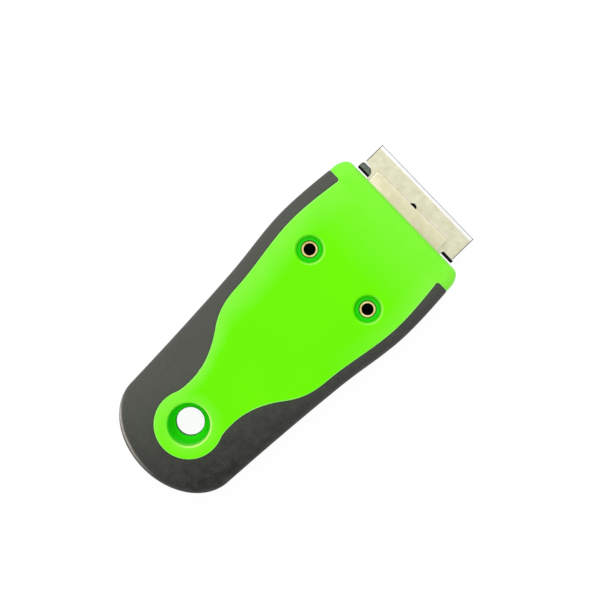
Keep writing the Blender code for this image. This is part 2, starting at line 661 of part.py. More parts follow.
def make_spine(steel):
    """A strip folded over the blade's back edge."""
    outer = SPINE_THICKNESS / 2
    inner = outer - SPINE_SHEET
    back_y = EDGE_Y - BLADE_DEPTH
    front_y = back_y + SPINE_DEPTH
    fold_y = back_y + SPINE_SHEET
    section = [(back_y, -outer), (front_y, -outer), (front_y, -inner), (fold_y, -inner)]
    section += [(fold_y, inner), (front_y, inner), (front_y, outer), (back_y, outer)]
    solid = bmesh.new()
    base = solid.faces.new([solid.verts.new((-SPINE_WIDTH / 2, y, PARTING_Z + z)) for y, z in section])
    lifted = bmesh.ops.extrude_face_region(solid, geom=[base])
    moved = [item for item in lifted["geom"] if isinstance(item, bmesh.types.BMVert)]
    bmesh.ops.translate(solid, verts=moved, vec=(SPINE_WIDTH, 0.0, 0.0))
    return make_object("blade_spine", solid, steel)


def main():
    clear_scene()
    green = make_material("green_plastic", (0.16, 0.90, 0.01), 0.32)
    rubber = make_material("dark_rubber", (0.085, 0.088, 0.082), 0.72)
    brass = make_material("brass", (0.80, 0.58, 0.27), 0.30, 1.0)
    black_steel = make_material("black_steel", (0.03, 0.03, 0.03), 0.45, 1.0)
    zinc = make_material("zinc_steel", (0.62, 0.62, 0.60), 0.38, 1.0)
    plate_steel = make_material("plate_steel", (0.72, 0.70, 0.62), 0.34, 1.0)
    dark_steel = make_material("dark_steel", (0.10, 0.105, 0.10), 0.42, 1.0)
    blade_steel = make_material("blade_steel", (0.76, 0.75, 0.68), 0.24, 1.0)
    make_front_shell(green)
    make_back_shell(green)
    make_grip(1, rubber)
    make_grip(-1, rubber)
    for name, x in screw_places():
        make_insert(name, x, brass)
        make_screw(name, x, black_steel)
        make_washer(name, x, zinc)
    make_upper_plate(plate_steel)
    make_lower_plate(dark_steel)
    make_blade(blade_steel)
    make_spine(plate_steel)


main()
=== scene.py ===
"""Looks of the scraper knife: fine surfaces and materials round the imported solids, in metres.

X runs across the handle, Y towards the blade's edge and Z up out of the face. "Reach" is a distance
along Y from the tail's end, and side is 1 for the face's half and -1 for the back's half.
"""

import math

import bmesh
import bpy
import numpy as np
from mathutils import Euler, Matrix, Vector
from mathutils.geometry import delaunay_2d_cdt


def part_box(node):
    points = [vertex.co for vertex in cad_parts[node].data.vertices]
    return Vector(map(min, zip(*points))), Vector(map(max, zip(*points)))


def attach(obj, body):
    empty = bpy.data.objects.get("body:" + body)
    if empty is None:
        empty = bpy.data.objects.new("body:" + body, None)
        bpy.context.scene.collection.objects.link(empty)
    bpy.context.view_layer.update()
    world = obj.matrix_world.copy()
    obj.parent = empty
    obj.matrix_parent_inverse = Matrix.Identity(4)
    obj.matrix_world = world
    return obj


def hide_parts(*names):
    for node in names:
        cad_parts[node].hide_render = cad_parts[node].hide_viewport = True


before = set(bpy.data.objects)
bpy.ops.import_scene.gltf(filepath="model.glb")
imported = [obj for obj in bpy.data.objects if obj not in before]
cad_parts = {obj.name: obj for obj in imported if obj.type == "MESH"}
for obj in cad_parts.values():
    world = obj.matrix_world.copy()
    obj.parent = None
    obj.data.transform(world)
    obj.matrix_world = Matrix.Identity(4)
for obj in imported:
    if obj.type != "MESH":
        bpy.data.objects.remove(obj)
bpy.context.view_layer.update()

# Places read from the frame.
TAIL_END_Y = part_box("grip_front")[0].y
FRONT_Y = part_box("front_shell")[1].y
EDGE_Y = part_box("razor_blade")[1].y
PARTING_Z = (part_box("grip_front")[0].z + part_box("grip_back")[1].z) / 2
HANDLE_LENGTH = FRONT_Y - TAIL_END_Y

# Handle outline, seen from above.
TAIL_DEPTH = 0.0153
TAIL_HALF_WIDTH = 0.0202
TAIL_SPREAD = 0.045
WAIST_REACH = 0.058
WAIST_HALF_WIDTH = 0.0229
WAIST_SPREAD = 0.085
WIDEST_TO_FRONT = 0.0231
WIDEST_HALF_WIDTH = 0.0254
FRONT_HALF_WIDTH = 0.0243
FRONT_SPREAD = -0.10
CORNER_WIDTH = 0.0032
CORNER_DEPTH = 0.0050
CORNER_SOFTNESS = 0.006

# Handle thickness and the rounding of its outer edge.
BACK_THICKNESS = 0.0060
FACE_THICKNESS = 0.0072
FACE_DROP = 0.0014
DROP_REACH = 0.050
CROWN = 0.0006
EDGE_ROUND = 0.0036
SIDE_WALL = 0.0012
FRONT_ROUND_SHARE = 0.45
ROUNDING_DEPTH = 0.0030

# Edge of the hard panel, its fillets and the seam round it.
PANEL_STEP = 0.0002
GRIP_END_TO_FRONT = 0.0060
GRIP_END_ROUND = 0.0009
PANEL_CIRCLE_RADIUS = 0.0101
PANEL_LEAVES_CIRCLE = math.radians(22)
NECK_TO_HOLE = 0.0094
NECK_HALF_WIDTH = 0.0087
SHOULDER_TO_NECK = 0.0155
SHOULDER_HALF_WIDTH = 0.0146
SHOULDER_SPREAD = 0.74
PANEL_FULL_TO_NECK = 0.0280
PANEL_FULL_HALF_WIDTH = 0.01875
PANEL_FULL_SPREAD = 0.06
PANEL_WIDEST_TO_FRONT = 0.0254
PANEL_WIDEST_HALF_WIDTH = 0.0217
PANEL_WIDEST_SPREAD = 0.05
PANEL_END_HALF_WIDTH = 0.02035
PANEL_END_SPREAD = -0.12
PANEL_FILLET = 0.00032
GRIP_FILLET = 0.00022
SEAM = 0.00005
PARTING_GAP = 0.00004
PARTING_ROUND = 0.00018

# Hanging hole: a funnel from the face, a bowl below it and a throat in the back half.
HOLE_REACH = 0.0190
HOLE_RADIUS = 0.00415
FUNNEL_RADIUS = 0.0062
FUNNEL_LIP = 0.0007
THROAT_Z = 0.0036
BOWL_HEIGHT = 0.0045
BACK_LIP = 0.0010

# Wells, bores and the inserts in them.
SCREW_X = 0.0120
SCREW_TO_FRONT = 0.0260
WELL_RADIUS = 0.0041
WELL_FLOOR_RADIUS = 0.0035
WELL_DEPTH = 0.00175
WELL_FILLET = 0.00045
WELL_FOOT = 0.00025
WELL_FOOT_SHARE = 0.3
WELL_LEVEL_SHARE = 0.7
SEAT_CHAMFER = 0.00012
INSERT_FIT = 0.00003
INSERT_CHAMFER = 0.00022
INSERT_GROOVE = 0.00025
KNURL_TEETH = 24
KNURL_DEPTH = 0.00012
BORE_RADIUS = 0.0048
BORE_FILLET = 0.0003
PASS_RADIUS = 0.0022
PASS_CHAMFER = 0.0002

# Screws and washers.
THREAD_PITCH = 0.0007
THREAD_DEPTH = 0.00018
THREAD_ROOT = 0.00142
BORE_THREAD_ROOT = 0.00164
INSERT_MOUTH = 0.00173
HEAD_HEIGHT = 0.0015
HEAD_RADIUS = 0.0038
SOCKET_APOTHEM = 0.00125
SOCKET_DEPTH = 0.0009
SOCKET_CHAMFER = 0.00025
WASHER_EDGE = 0.00012

# Plates, blade and spine.
PLATE_SKEW = math.radians(1.2)
PLATE_SHIFT = 0.0003
PLATE_WIDTH = 0.0360
PLATE_LENGTH = 0.0311
PLATE_SETBACK = 0.0014
PLATE_EDGE = 0.00024
TONGUE_WIDTH = 0.0280
TONGUE_OUT = 0.0040
TONGUE_CORNER = 0.0004
INNER_CORNER = 0.0008
PLATE_CORNER = 0.0012
BED_OUT = 0.0052
BED_HALF_WIDTH = 0.0140
LEFT_EAR_OUT = 0.0029
RIGHT_EAR_OUT = 0.0015
EAR_HALF_WIDTH = 0.01945
EAR_CORNER = 0.0012
EAR_GAP = 0.0005
EAR_NECK_HALF_WIDTH = 0.0146
STOP_WIDTH = 0.0040
STOP_SPACING = 0.0160
STOP_LENGTH = 0.0010
BLADE_HALF_WIDTH = 0.0190
BLADE_DEPTH = 0.0190
BLADE_HALF_THICKNESS = 0.000125
BLADE_BEVEL = 0.0011
BLADE_HOLE_RADIUS = 0.00127
BLADE_HOLE_TO_EDGE = 0.0064
NOTCH_DEPTH = 0.0038
NOTCH_LENGTH = 0.0042
LEFT_NOTCH_TO_EDGE = 0.0072
RIGHT_NOTCH_TO_EDGE = 0.0085
NOTCH_ROUND = 0.0012
NOTCH_SLANT = 0.0006
SPINE_DEPTH = 0.0040
SPINE_SHEET = 0.00025
SPINE_SLACK = 0.0001
GAP = 0.0003
SLOT_PLAY = 0.0004
CUT_MARGIN = 0.0020

# Fineness of the meshes.
TAIL_STEPS = 30
SIDE_STEPS = 70
BORDER_STEPS = 280
CORNER_STEPS = 14
FRONT_STEPS = 16
ROUND_STEPS = 10
FRONT_LINES = 4
CIRCLE_STEPS = 30
FILLET_TURNS = (22.5, 45.0, 67.5, 90.0)
EDGE_TURNS = (0.0, *FILLET_TURNS)
LIP_TURNS = (15, 30, 45, 60, 75, 90)
PARTING_TURNS = (0.0, 30.0, 60.0, 90.0)
WELL_STEPS = 5
GRIP_END_STEPS = 8
GRIP_END_RUN_STEPS = 6
DOME_STEPS = 9
FOLD_STEPS = 8
HOLE_SEGMENTS = 96
TURNED_SEGMENTS = 72
CURVE_STEPS = 6
BOWL_STEPS = 12
GRID = 0.0009
GRID_ROW_SHARE = 0.866
GRID_BLOCK = 2000
MERGE = 1e-6
WELD = 1e-7
SMOOTH_ANGLE = math.radians(38)

# Where the materials change: edges, worn on the screws and washers and a painted highlight on the plastic
# and the plates; painted shade in deep recesses, at the hole's throat, on the brass, on the screws' tips,
# on the bed and along the blade; painted glints on the lips; painted sheen on the pale borders and on the
# rubber; and a painted highlight on the band's ledge.
WEAR_AND_HIGHLIGHT_FROM = math.radians(19)
WEAR_AND_HIGHLIGHT_TO = math.radians(22.5)
DEEP_FROM = 0.0002
DEEP_TO = 0.0011
THROAT_RING = 0.00035
HIGHLIGHT_STOP = 0.00014
WELL_GLINT_SHARE = 0.6
LIP_MIDDLE = 0.4
LIP_SPREAD = 0.6
GLINT_WAY = Vector((0.97, 0.24))
GLINT_TURNS = (-0.35, 0.75)
PALE_LEFT = 0.0085
PALE_NARROW = 0.0035
PALE_NARROW_REACH = 0.038
PALE_RIGHT = 0.0060
PALE_FRONT = 0.0210
PALE_FRONT_SHARE = 0.7
PALE_RIM = 0.0100
PALE_RIM_SHARE = 0.6
LEDGE_WIDTH = 0.0004
LEDGE_INSETS = (0.0, 0.0015)
LEDGE_TURNS = [math.radians(turn) for turn in (-78, -55, -25, 12)]
SHEEN_SLANT = 0.35
SHEEN_FRONT = -0.050
SHEEN_LEFT = -0.019
SHEEN_RIGHT = 0.017
BRASS_RIM_SHADE = (0.00232, 0.00246)
BRASS_BORE_SHADE = (0.00182, 0.00174)
SHADED_TIP = (0.0050, 0.0080)
SHADE_IN_FRONT = (0.0011, 0.0014)
SHADE_BESIDE = 0.0008
GROUND_BLUR = 0.0001
EDGE_SHADE_LINE = (0.00034, 0.00022)
BLADE_SIDE_SHADE = (0.0003, 0.0002)

# Floor, lamp and camera.
FLOOR_HALF_WIDTH = 0.6
FLOOR_Z = -0.0002
FLOOR_GLOW = 0.93
FLOOR_SHADE = 0.10
FLOOR_PLAIN = 0.85
WORLD_LEVEL = 0.78
KEY_PLACE = (-0.45, 0.25, 0.75)
KEY_SIZE = 0.45
KEY_WATTS = 2.2
CAMERA_PLACE = (-0.01833, 0.0309, 0.599)
CAMERA_TURNS = (-2.5, 0.498, 45.942)
CAMERA_LENS = 122.665
SENSOR_WIDTH = 36.0

# Worked out from the sizes above.
HOLE_Y = TAIL_END_Y + HOLE_REACH
SCREW_Y = FRONT_Y - SCREW_TO_FRONT
GRIP_END_REACH = HANDLE_LENGTH - GRIP_END_TO_FRONT
UPPER_PLATE_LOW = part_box("upper_clamp_plate")[0].z
UPPER_PLATE_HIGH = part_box("upper_clamp_plate")[1].z
LOWER_PLATE_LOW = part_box("lower_clamp_plate")[0].z
LOWER_PLATE_HIGH = LOWER_PLATE_LOW + UPPER_PLATE_HIGH - UPPER_PLATE_LOW
PLATE_BACK_Y = FRONT_Y - PLATE_SETBACK - PLATE_LENGTH
SLOT_BACK_Y = PLATE_BACK_Y - PLATE_WIDTH / 2 * math.sin(PLATE_SKEW) - GAP
SLOT_HALF_WIDTH = BLADE_HALF_WIDTH + SLOT_PLAY
SIDES = (("left", -1), ("right", 1))
SCREW_PLACES = [(side * SCREW_X, SCREW_Y) for side in (-1, 1)]

# The face's recesses with a painted glint on their lips, as (centre, radius, width of the lip, share of
# the glint).
RIMS = [((0.0, HOLE_Y), FUNNEL_RADIUS, FUNNEL_LIP, 1.0)]
RIMS += [(place, WELL_RADIUS, WELL_FILLET, WELL_GLINT_SHARE) for place in SCREW_PLACES]


def along(stations, reach):
    """Half width at a reach, on a smooth curve through (reach, half width, spread) stations."""
    start, end = stations[0], stations[-1]
    if reach <= start[0]:
        return start[1] + start[2] * (reach - start[0])
    if reach >= end[0]:
        return end[1] + end[2] * (reach - end[0])
    for (reach_a, half_a, spread_a), (reach_b, half_b, spread_b) in zip(stations, stations[1:]):
        if reach <= reach_b:
            break
    span = reach_b - reach_a
    u = (reach - reach_a) / span
    from_a = (1 + 2 * u) * (1 - u) ** 2 * half_a + u * (1 - u) ** 2 * span * spread_a
    from_b = u * u * (3 - 2 * u) * half_b - u * u * (1 - u) * span * spread_b
    return from_a + from_b


HANDLE_STATIONS = [
    (TAIL_DEPTH, TAIL_HALF_WIDTH, TAIL_SPREAD),
    (WAIST_REACH, WAIST_HALF_WIDTH, WAIST_SPREAD),
    (HANDLE_LENGTH - WIDEST_TO_FRONT, WIDEST_HALF_WIDTH, 0.0),
    (HANDLE_LENGTH - CORNER_DEPTH, FRONT_HALF_WIDTH, FRONT_SPREAD),
]


def between(start, end, steps):
    """Values from start to end in equal steps, with both ends."""
    return [start + (end - start) * step / steps for step in range(steps + 1)]


def share_of(value, start, end):
    """How far a value lies between start and end, kept within 0 and 1."""
    return min(max((value - start) / (end - start), 0.0), 1.0)


def rise(side, reach, inset):
    """Height of the outer surface above the parting plane, away from the rounded edge."""
    if side < 0:
        return BACK_THICKNESS
    u = share_of(reach, DROP_REACH, HANDLE_LENGTH)
    crown_fall = CROWN * (1 - min(inset / TAIL_HALF_WIDTH, 1.0)) ** 2
    return FACE_THICKNESS - FACE_DROP * u * u * (3 - 2 * u) - crown_fall


def inset_at(x, reach):
    """How far in from the outline a point lies, in the measure that the outline is drawn in by."""
    if reach < TAIL_DEPTH:
        radius = math.hypot(x / TAIL_HALF_WIDTH, (TAIL_DEPTH - reach) / TAIL_DEPTH)
        return TAIL_HALF_WIDTH * (1 - radius)
    from_side = along(HANDLE_STATIONS, reach) - abs(x)
    from_front = (HANDLE_LENGTH - reach) / FRONT_ROUND_SHARE
    return min(from_side, from_front)


def height_at(side, reach, inset):
    """Height above the parting plane, with the rounded edge."""
    top = rise(side, reach, inset)
    if inset >= EDGE_ROUND:
        return top
    share = math.sin(math.acos(1 - max(inset, 0.0) / EDGE_ROUND))
    return SIDE_WALL + (top - SIDE_WALL) * share


def surface_point(side, x, reach, drop):
    level = height_at(side, reach, inset_at(x, reach)) - drop
    return Vector((x, TAIL_END_Y + reach, PARTING_Z + side * level))


def edge_point(side, x, reach, inset, out, drop):
    """A point on the rounded edge, pushed in by drop along the surface's normal."""
    top = rise(side, reach, inset)
    turn = math.acos(1 - inset / EDGE_ROUND)
    level = SIDE_WALL + (top - SIDE_WALL) * math.sin(turn)
    normal = Vector((out[0] * math.cos(turn), out[1] * math.cos(turn), side * math.sin(turn)))
    return Vector((x, TAIL_END_Y + reach, PARTING_Z + side * level)) - normal * drop


def tail_and_side(inset, end_reach, fillets):
    """The outline's right side from the tail's end to end_reach, as (x, reach, out, drop)."""
    half = TAIL_HALF_WIDTH - inset
    depth = TAIL_DEPTH * half / TAIL_HALF_WIDTH
    points = []
    for turn in between(0.0, math.pi / 2, TAIL_STEPS):
        points.append((half * math.sin(turn), TAIL_DEPTH - depth * math.cos(turn),
                       (math.sin(turn), -math.cos(turn)), 0.0))
    for reach in between(TAIL_DEPTH, end_reach - fillets[-1][0], SIDE_STEPS)[1:]:
        points.append((along(HANDLE_STATIONS, reach) - inset, reach, (1.0, 0.0), 0.0))
    for depth_in, drop in reversed(fillets[:-1]):
        reach = end_reach - depth_in
        points.append((along(HANDLE_STATIONS, reach) - inset, reach, (1.0, 0.0), drop))
    return points


def head_side(inset, start_reach, fillets):
    """The outline's right side from start_reach round the corner to the middle of the front."""
    softness = CORNER_SOFTNESS / (CORNER_SOFTNESS + inset)
    width = CORNER_WIDTH * softness
    depth = CORNER_DEPTH * softness
    corner_reach = HANDLE_LENGTH - FRONT_ROUND_SHARE * inset - depth
    points = []
    for depth_in, drop in fillets:
        reach = min(start_reach + depth_in, corner_reach)
        points.append((along(HANDLE_STATIONS, reach) - inset, reach, (1.0, 0.0), drop))
    corner_x = along(HANDLE_STATIONS, corner_reach) - inset - width
    for turn in between(0.0, math.pi / 2, CORNER_STEPS)[1:]:
        points.append((corner_x + width * math.cos(turn), corner_reach + depth * math.sin(turn),
                       (math.cos(turn), math.sin(turn)), 0.0))
    front = between(corner_x, 0.0, FRONT_STEPS)[1:]
    return points + [(x, corner_reach + depth, (0.0, 1.0), 0.0) for x in front]


def flipped(points):
    """A run of right-side points on the left side, from its end back to its start."""
    return [(-x, reach, (-out[0], out[1]), drop) for x, reach, out, drop in reversed(points)]


def edge_rows(side, run_at, sink):
    """Rows of points on the rounded edge, from the wall in. run_at gives the run at an inset, and sink
    is how far the surface lies below the panel's."""
    rows = []
    for turn in between(0.0, math.acos(1 - ROUNDING_DEPTH / EDGE_ROUND), ROUND_STEPS):
        inset = EDGE_ROUND * (1 - math.cos(turn))
        lower = Vector((0.0, 0.0, side * sink * math.sin(turn)))
        run = run_at(inset)
        rows.append([edge_point(side, x, reach, inset, out, drop) - lower for x, reach, out, drop in run])
    return rows


def quarter(radius, turns=FILLET_TURNS):
    """(distance in, distance down) pairs along a quarter round, at turns in degrees."""
    angles = [math.radians(turn) for turn in turns]
    return [(radius * (1 - math.cos(angle)), radius * (1 - math.sin(angle))) for angle in angles]


def fillet(radius):
    """(distance in, drop) pairs from the edge to where the fillet ends."""
    return [(0.0, radius)] + quarter(radius)


def panel_side(grow):
    """The panel's right border from the tail to the grip's end, then out towards the handle's side,
    as (x, reach) points. grow makes the panel wider."""
    neck_reach = HOLE_REACH + NECK_TO_HOLE
    radius = PANEL_CIRCLE_RADIUS + grow
    leave = PANEL_LEAVES_CIRCLE
    leave_reach = HOLE_REACH + radius * math.sin(leave)
    stations = [
        (leave_reach, radius * math.cos(leave), -math.tan(leave)),
        (neck_reach, NECK_HALF_WIDTH + grow, 0.0),
        (neck_reach + SHOULDER_TO_NECK, SHOULDER_HALF_WIDTH + grow, SHOULDER_SPREAD),
        (neck_reach + PANEL_FULL_TO_NECK, PANEL_FULL_HALF_WIDTH + grow, PANEL_FULL_SPREAD),
        (HANDLE_LENGTH - PANEL_WIDEST_TO_FRONT, PANEL_WIDEST_HALF_WIDTH + grow, PANEL_WIDEST_SPREAD),
        (HANDLE_LENGTH - GRIP_END_TO_FRONT, PANEL_END_HALF_WIDTH + grow, PANEL_END_SPREAD),
    ]
    end_reach = GRIP_END_REACH - grow
    points = []
    for turn in between(-math.pi / 2, leave, CIRCLE_STEPS)[:-1]:
        points.append((radius * math.cos(turn), HOLE_REACH + radius * math.sin(turn)))
    round_start = end_reach - GRIP_END_ROUND
    for reach in between(leave_reach, round_start, BORDER_STEPS)[:-1]:
        points.append((along(stations, reach), reach))
    inner_x = along(stations, end_reach) + GRIP_END_ROUND
    for turn in between(math.pi, math.pi / 2, GRIP_END_STEPS):
        points.append((inner_x + GRIP_END_ROUND * math.cos(turn),
                       round_start + GRIP_END_ROUND * math.sin(turn)))
    outer_x = along(HANDLE_STATIONS, end_reach) - ROUNDING_DEPTH
    return points + [(x, end_reach) for x in between(inner_x, outer_x, GRIP_END_RUN_STEPS)[1:-1]]


def inside(polygon, points):
    """Which points lie inside a closed polygon, both as arrays of (x, y)."""
    result = np.zeros(len(points), bool)
    x, y = points[:, 0], points[:, 1]
    for (x_a, y_a), (x_b, y_b) in zip(polygon, np.roll(polygon, -1, axis=0)):
        if y_a == y_b:
            continue
        crosses = (y_a > y) != (y_b > y)
        result ^= crosses & (x < (x_b - x_a) * (y - y_a) / (y_b - y_a) + x_a)
    return result


def within(loops, points):
    """Which points lie inside the first loop and outside the others."""
    result = inside(loops[0], points)
    for hole in loops[1:]:
        result &= ~inside(hole, points)
    return result


def grid_points(low, high):
    """A staggered grid over a rectangle."""
    row_step = GRID * GRID_ROW_SHARE
    rows = int((high[1] - low[1]) / row_step) + 1
    columns = int((high[0] - low[0]) / GRID) + 1
    points = []
    for row in range(rows):
        for column in range(columns):
            points.append((low[0] + (column + 0.5 * (row % 2)) * GRID, low[1] + row * row_step))
    return np.array(points)


def fill_surface(solid, loops, lines, place):
    """Triangulates the area inside the first loop and outside the others. Loops hold ready points,
    lines hold (x, y, drop) points on fillets, and place lifts a flat point to the surface."""
    flat_loops = [np.array([(p.x, p.y) for p in loop]) for loop in loops]
    border = np.concatenate(flat_loops)
    grid = grid_points(border.min(0), border.max(0))
    keep = within(flat_loops, grid)
    near = np.concatenate([border, np.array([(x, y) for x, y, drop in lines])])
    for start in range(0, len(grid), GRID_BLOCK):
        part = slice(start, start + GRID_BLOCK)
        across, forward = [grid[part, None, axis] - near[None, :, axis] for axis in (0, 1)]
        gaps = np.hypot(across, forward)
        keep[part] &= gaps.min(1) > GRID * 0.5
    spots = [p.copy() for loop in loops for p in loop]
    spots += [place(x, y, drop) for x, y, drop in lines]
    spots += [place(x, y, 0.0) for x, y in grid[keep]]
    edges = []
    start = 0
    for loop in loops:
        edges += followers(list(range(start, start + len(loop))))
        start += len(loop)
    flat = [Vector((p.x, p.y)) for p in spots]
    corners, _, triangles, origins, _, _ = delaunay_2d_cdt(flat, edges, [], 0, 1e-9)
    vertices = []
    for corner, sources in zip(corners, origins):
        spot = spots[sources[0]] if sources else place(corner.x, corner.y, 0.0)
        vertices.append(solid.verts.new(spot))
    middles = [[sum(corners[i][axis] for i in face) / 3 for axis in (0, 1)] for face in triangles]
    for face, use in zip(triangles, within(flat_loops, np.array(middles))):
        if use:
            solid.faces.new([vertices[i] for i in face])
    loose = [vertex for vertex in solid.verts if not vertex.link_faces]
    bmesh.ops.delete(solid, geom=loose, context="VERTS")


def add_grid(solid, rows):
    """Faces between rows of points of equal count."""
    lines = [[solid.verts.new(point) for point in row] for row in rows]
    for line_a, line_b in zip(lines, lines[1:]):
        for index in range(len(line_a) - 1):
            corners = (line_a[index], line_a[index + 1], line_b[index + 1], line_b[index])
            solid.faces.new(corners)


def boundary_loops(solid):
    """Closed runs of the edges that have one face."""
    waiting = {edge for edge in solid.edges if len(edge.link_faces) == 1}
    loops = []
    while waiting:
        first = waiting.pop()
        loop = [first.verts[0], first.verts[1]]
        while True:
            step = next((e for e in loop[-1].link_edges if e in waiting), None)
            if step is None:
                break
            waiting.discard(step)
            loop.append(step.other_vert(loop[-1]))
        loops.append(loop[:-1] if loop[-1] is loop[0] else loop)
    return loops


def followers(items):
    """Pairs of each item and the one after it, round a closed run."""
    return zip(items, items[1:] + items[:1])


def join_rings(solid, ring_a, ring_b):
    """Faces between two closed rings of as many vertices."""
    for (here_a, after_a), (here_b, after_b) in zip(followers(ring_a), followers(ring_b)):
        solid.faces.new((here_a, after_a, after_b, here_b))


def extend(solid, loop, spots):
    """Adds a ring of faces from a closed loop of vertices to new vertices at the spots."""
    ring = [solid.verts.new(spot) for spot in spots]
    join_rings(solid, loop, ring)
    return ring


def ring_at(loop, centre, radius, levels):
    spots = []
    for vertex, level in zip(loop, levels):
        away = Vector((vertex.co.x - centre[0], vertex.co.y - centre[1]))
        away.normalize()
        spots.append(Vector((centre[0] + radius * away.x, centre[1] + radius * away.y, level)))
    return spots


def level_rings(solid, loop, centre, steps):
    """Carries a round hole on through level rings, given as (radius, z)."""
    for radius, level in steps:
        loop = extend(solid, loop, ring_at(loop, centre, radius, [level] * len(loop)))


def sink_hole(solid, loop, centre, side, profile, common):
    """Carries a round hole down from its rim. profile gives (radius, depth below the rim); past the
    depth named common all of the ring lies level."""
    rim = [vertex.co.z for vertex in loop]
    mean = sum(rim) / len(rim)
    for radius, depth in profile:
        blend = min(depth / common, 1.0)
        levels = [level + (mean - level) * blend - side * depth for level in rim]
        loop = extend(solid, loop, ring_at(loop, centre, radius, levels))
    return loop


def close_edge(solid, loop, side):
    """Walls down from the outer loop to the parting plane, with a small round at its edge."""
    starts = [vertex.co.copy() for vertex in loop]
    area = sum(here.x * after.y - after.x * here.y for here, after in followers(starts))
    turn = 1.0 if area > 0 else -1.0
    inward = []
    for before, after in zip(starts[-1:] + starts, starts[1:] + starts[:1]):
        way = Vector((after.x - before.x, after.y - before.y)).normalized()
        inward.append(Vector((-way.y, way.x, 0.0)) * turn)
    for offset, rest in quarter(PARTING_ROUND, PARTING_TURNS):
        spots = [start + way * offset for start, way in zip(starts, inward)]
        for spot in spots:
            spot.z = PARTING_Z + side * PARTING_GAP + side * rest
        loop = extend(solid, loop, spots)


def close_flat(solid):
    """Fills the flat underside, with its holes."""
    edges = [edge for edge in solid.edges if len(edge.link_faces) == 1]
    bmesh.ops.triangle_fill(solid, edges=edges, use_beauty=True)


def mark_edges(solid):
    """Stores how sharply each vertex stands out, for the wear and the painted edge highlights in the
    materials.
    """
    layer = solid.verts.layers.float.new("edge")
    for vertex in solid.verts:
        joined = [edge for edge in vertex.link_edges if len(edge.link_faces) == 2]
        turn = max(edge.calc_face_angle_signed(0.0) for edge in joined)
        vertex[layer] = share_of(turn, WEAR_AND_HIGHLIGHT_FROM, WEAR_AND_HIGHLIGHT_TO)


def lip_glint(x, y):
    """How much painted glint a point of the face gets, on the side of a recess's lip that is turned to the
    glint's way.
    """
    share = 0.0
    for centre, radius, width, strength in RIMS:
        away = Vector((x - centre[0], y - centre[1]))
        near = 1 - abs(away.length - radius - LIP_MIDDLE * width) / (LIP_SPREAD * width)
        turned = share_of(away.normalized().dot(GLINT_WAY), *GLINT_TURNS)
        share = max(share, strength * near * turned)
    return share


def paleness(x, reach, from_hole, half):
    """How pale the panel's painted sheen makes it, towards its sides and its front and round the hanging
    hole.
    """
    widening = share_of(reach, PALE_NARROW_REACH, WAIST_REACH)
    from_left = share_of(x + half, PALE_NARROW + (PALE_LEFT - PALE_NARROW) * widening, 0.0)
    from_right = share_of(half - x, PALE_RIGHT, 0.0) * share_of(reach, WAIST_REACH, HANDLE_LENGTH)
    from_front = PALE_FRONT_SHARE * share_of(reach, HANDLE_LENGTH - PALE_FRONT, HANDLE_LENGTH)
    from_rim = PALE_RIM_SHARE * share_of(from_hole, PALE_RIM, FUNNEL_RADIUS)
    return 1 - (1 - max(from_left, from_right)) * (1 - from_front) * (1 - from_rim)


def mark_panel(solid):
    """Stores for each vertex of a shell how deep it lies in a well or a bore, or in the hanging hole's
    bowl, for painted shade there, how close it is to the hole's throat, for a painted shadow ring, how
    much painted glint its lip gets, and how pale a painted sheen makes it."""
    names = ("deep", "bowl", "throat", "lip", "pale")
    deep, bowl, throat, lip, pale = [solid.verts.layers.float.new(name) for name in names]
    border = panel_side(0.0)
    for vertex in solid.verts:
        x, y, z = vertex.co
        side = 1 if z > PARTING_Z else -1
        reach = y - TAIL_END_Y
        from_hole = math.hypot(x, y - HOLE_Y)
        from_screw = math.hypot(abs(x) - SCREW_X, y - SCREW_Y)
        if from_hole < FUNNEL_RADIUS + FUNNEL_LIP or from_screw < max(WELL_RADIUS, BORE_RADIUS):
            surface = PARTING_Z + side * height_at(side, reach, inset_at(x, reach))
            mark = bowl if from_hole < from_screw else deep
            vertex[mark] = share_of(side * (surface - z), DEEP_FROM, DEEP_TO)
            vertex[throat] = share_of(from_hole, HOLE_RADIUS + THROAT_RING, HOLE_RADIUS)
        if side > 0:
            vertex[lip] = lip_glint(x, y)
        beside = (half for half, reach_here in border if reach_here >= reach)
        vertex[pale] = paleness(x, reach, from_hole, next(beside, along(HANDLE_STATIONS, reach)))


def add_object(name, data):
    made = bpy.data.objects.new(name, data)
    bpy.context.scene.collection.objects.link(made)
    return made


def make_piece(name, solid, body, slot, material, *nodes):
    """Turns a shape into the visible piece of its nodes."""
    bmesh.ops.remove_doubles(solid, verts=solid.verts, dist=WELD)
    bmesh.ops.recalc_face_normals(solid, faces=solid.faces)
    mark_edges(solid)
    mesh = bpy.data.meshes.new(name)
    solid.to_mesh(mesh)
    solid.free()
    mesh.shade_smooth()
    mesh.set_sharp_from_angle(angle=SMOOTH_ANGLE)
    mesh.materials.append(material)
    piece = add_object(name, mesh)
    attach(piece, body)
    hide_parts(*nodes)


def round_points(centre, radius, count):
    turns = between(0.0, 2 * math.pi, count)[:-1]
    return [(centre[0] + radius * math.cos(turn), centre[1] + radius * math.sin(turn)) for turn in turns]


def circle(centre, radius, place):
    return [place(x, y, 0.0) for x, y in round_points(centre, radius, HOLE_SEGMENTS)]


def border_line(grow, drop):
    """One fillet line along the whole border, from the left grip end round the tail to the right."""
    right = panel_side(grow)
    both = [(-x, reach) for x, reach in reversed(right[1:])] + right
    return [(x, TAIL_END_Y + reach, drop) for x, reach in both]


def front_lines():
    """Lines where the front's rounding runs out into the face."""
    half = FRONT_HALF_WIDTH - ROUNDING_DEPTH - CORNER_WIDTH
    lines = []
    for inset in between(ROUNDING_DEPTH, EDGE_ROUND, FRONT_LINES)[1:]:
        y = FRONT_Y - FRONT_ROUND_SHARE * inset
        lines += [(x, y, 0.0) for x in between(-half, half, SIDE_STEPS)]
    return lines


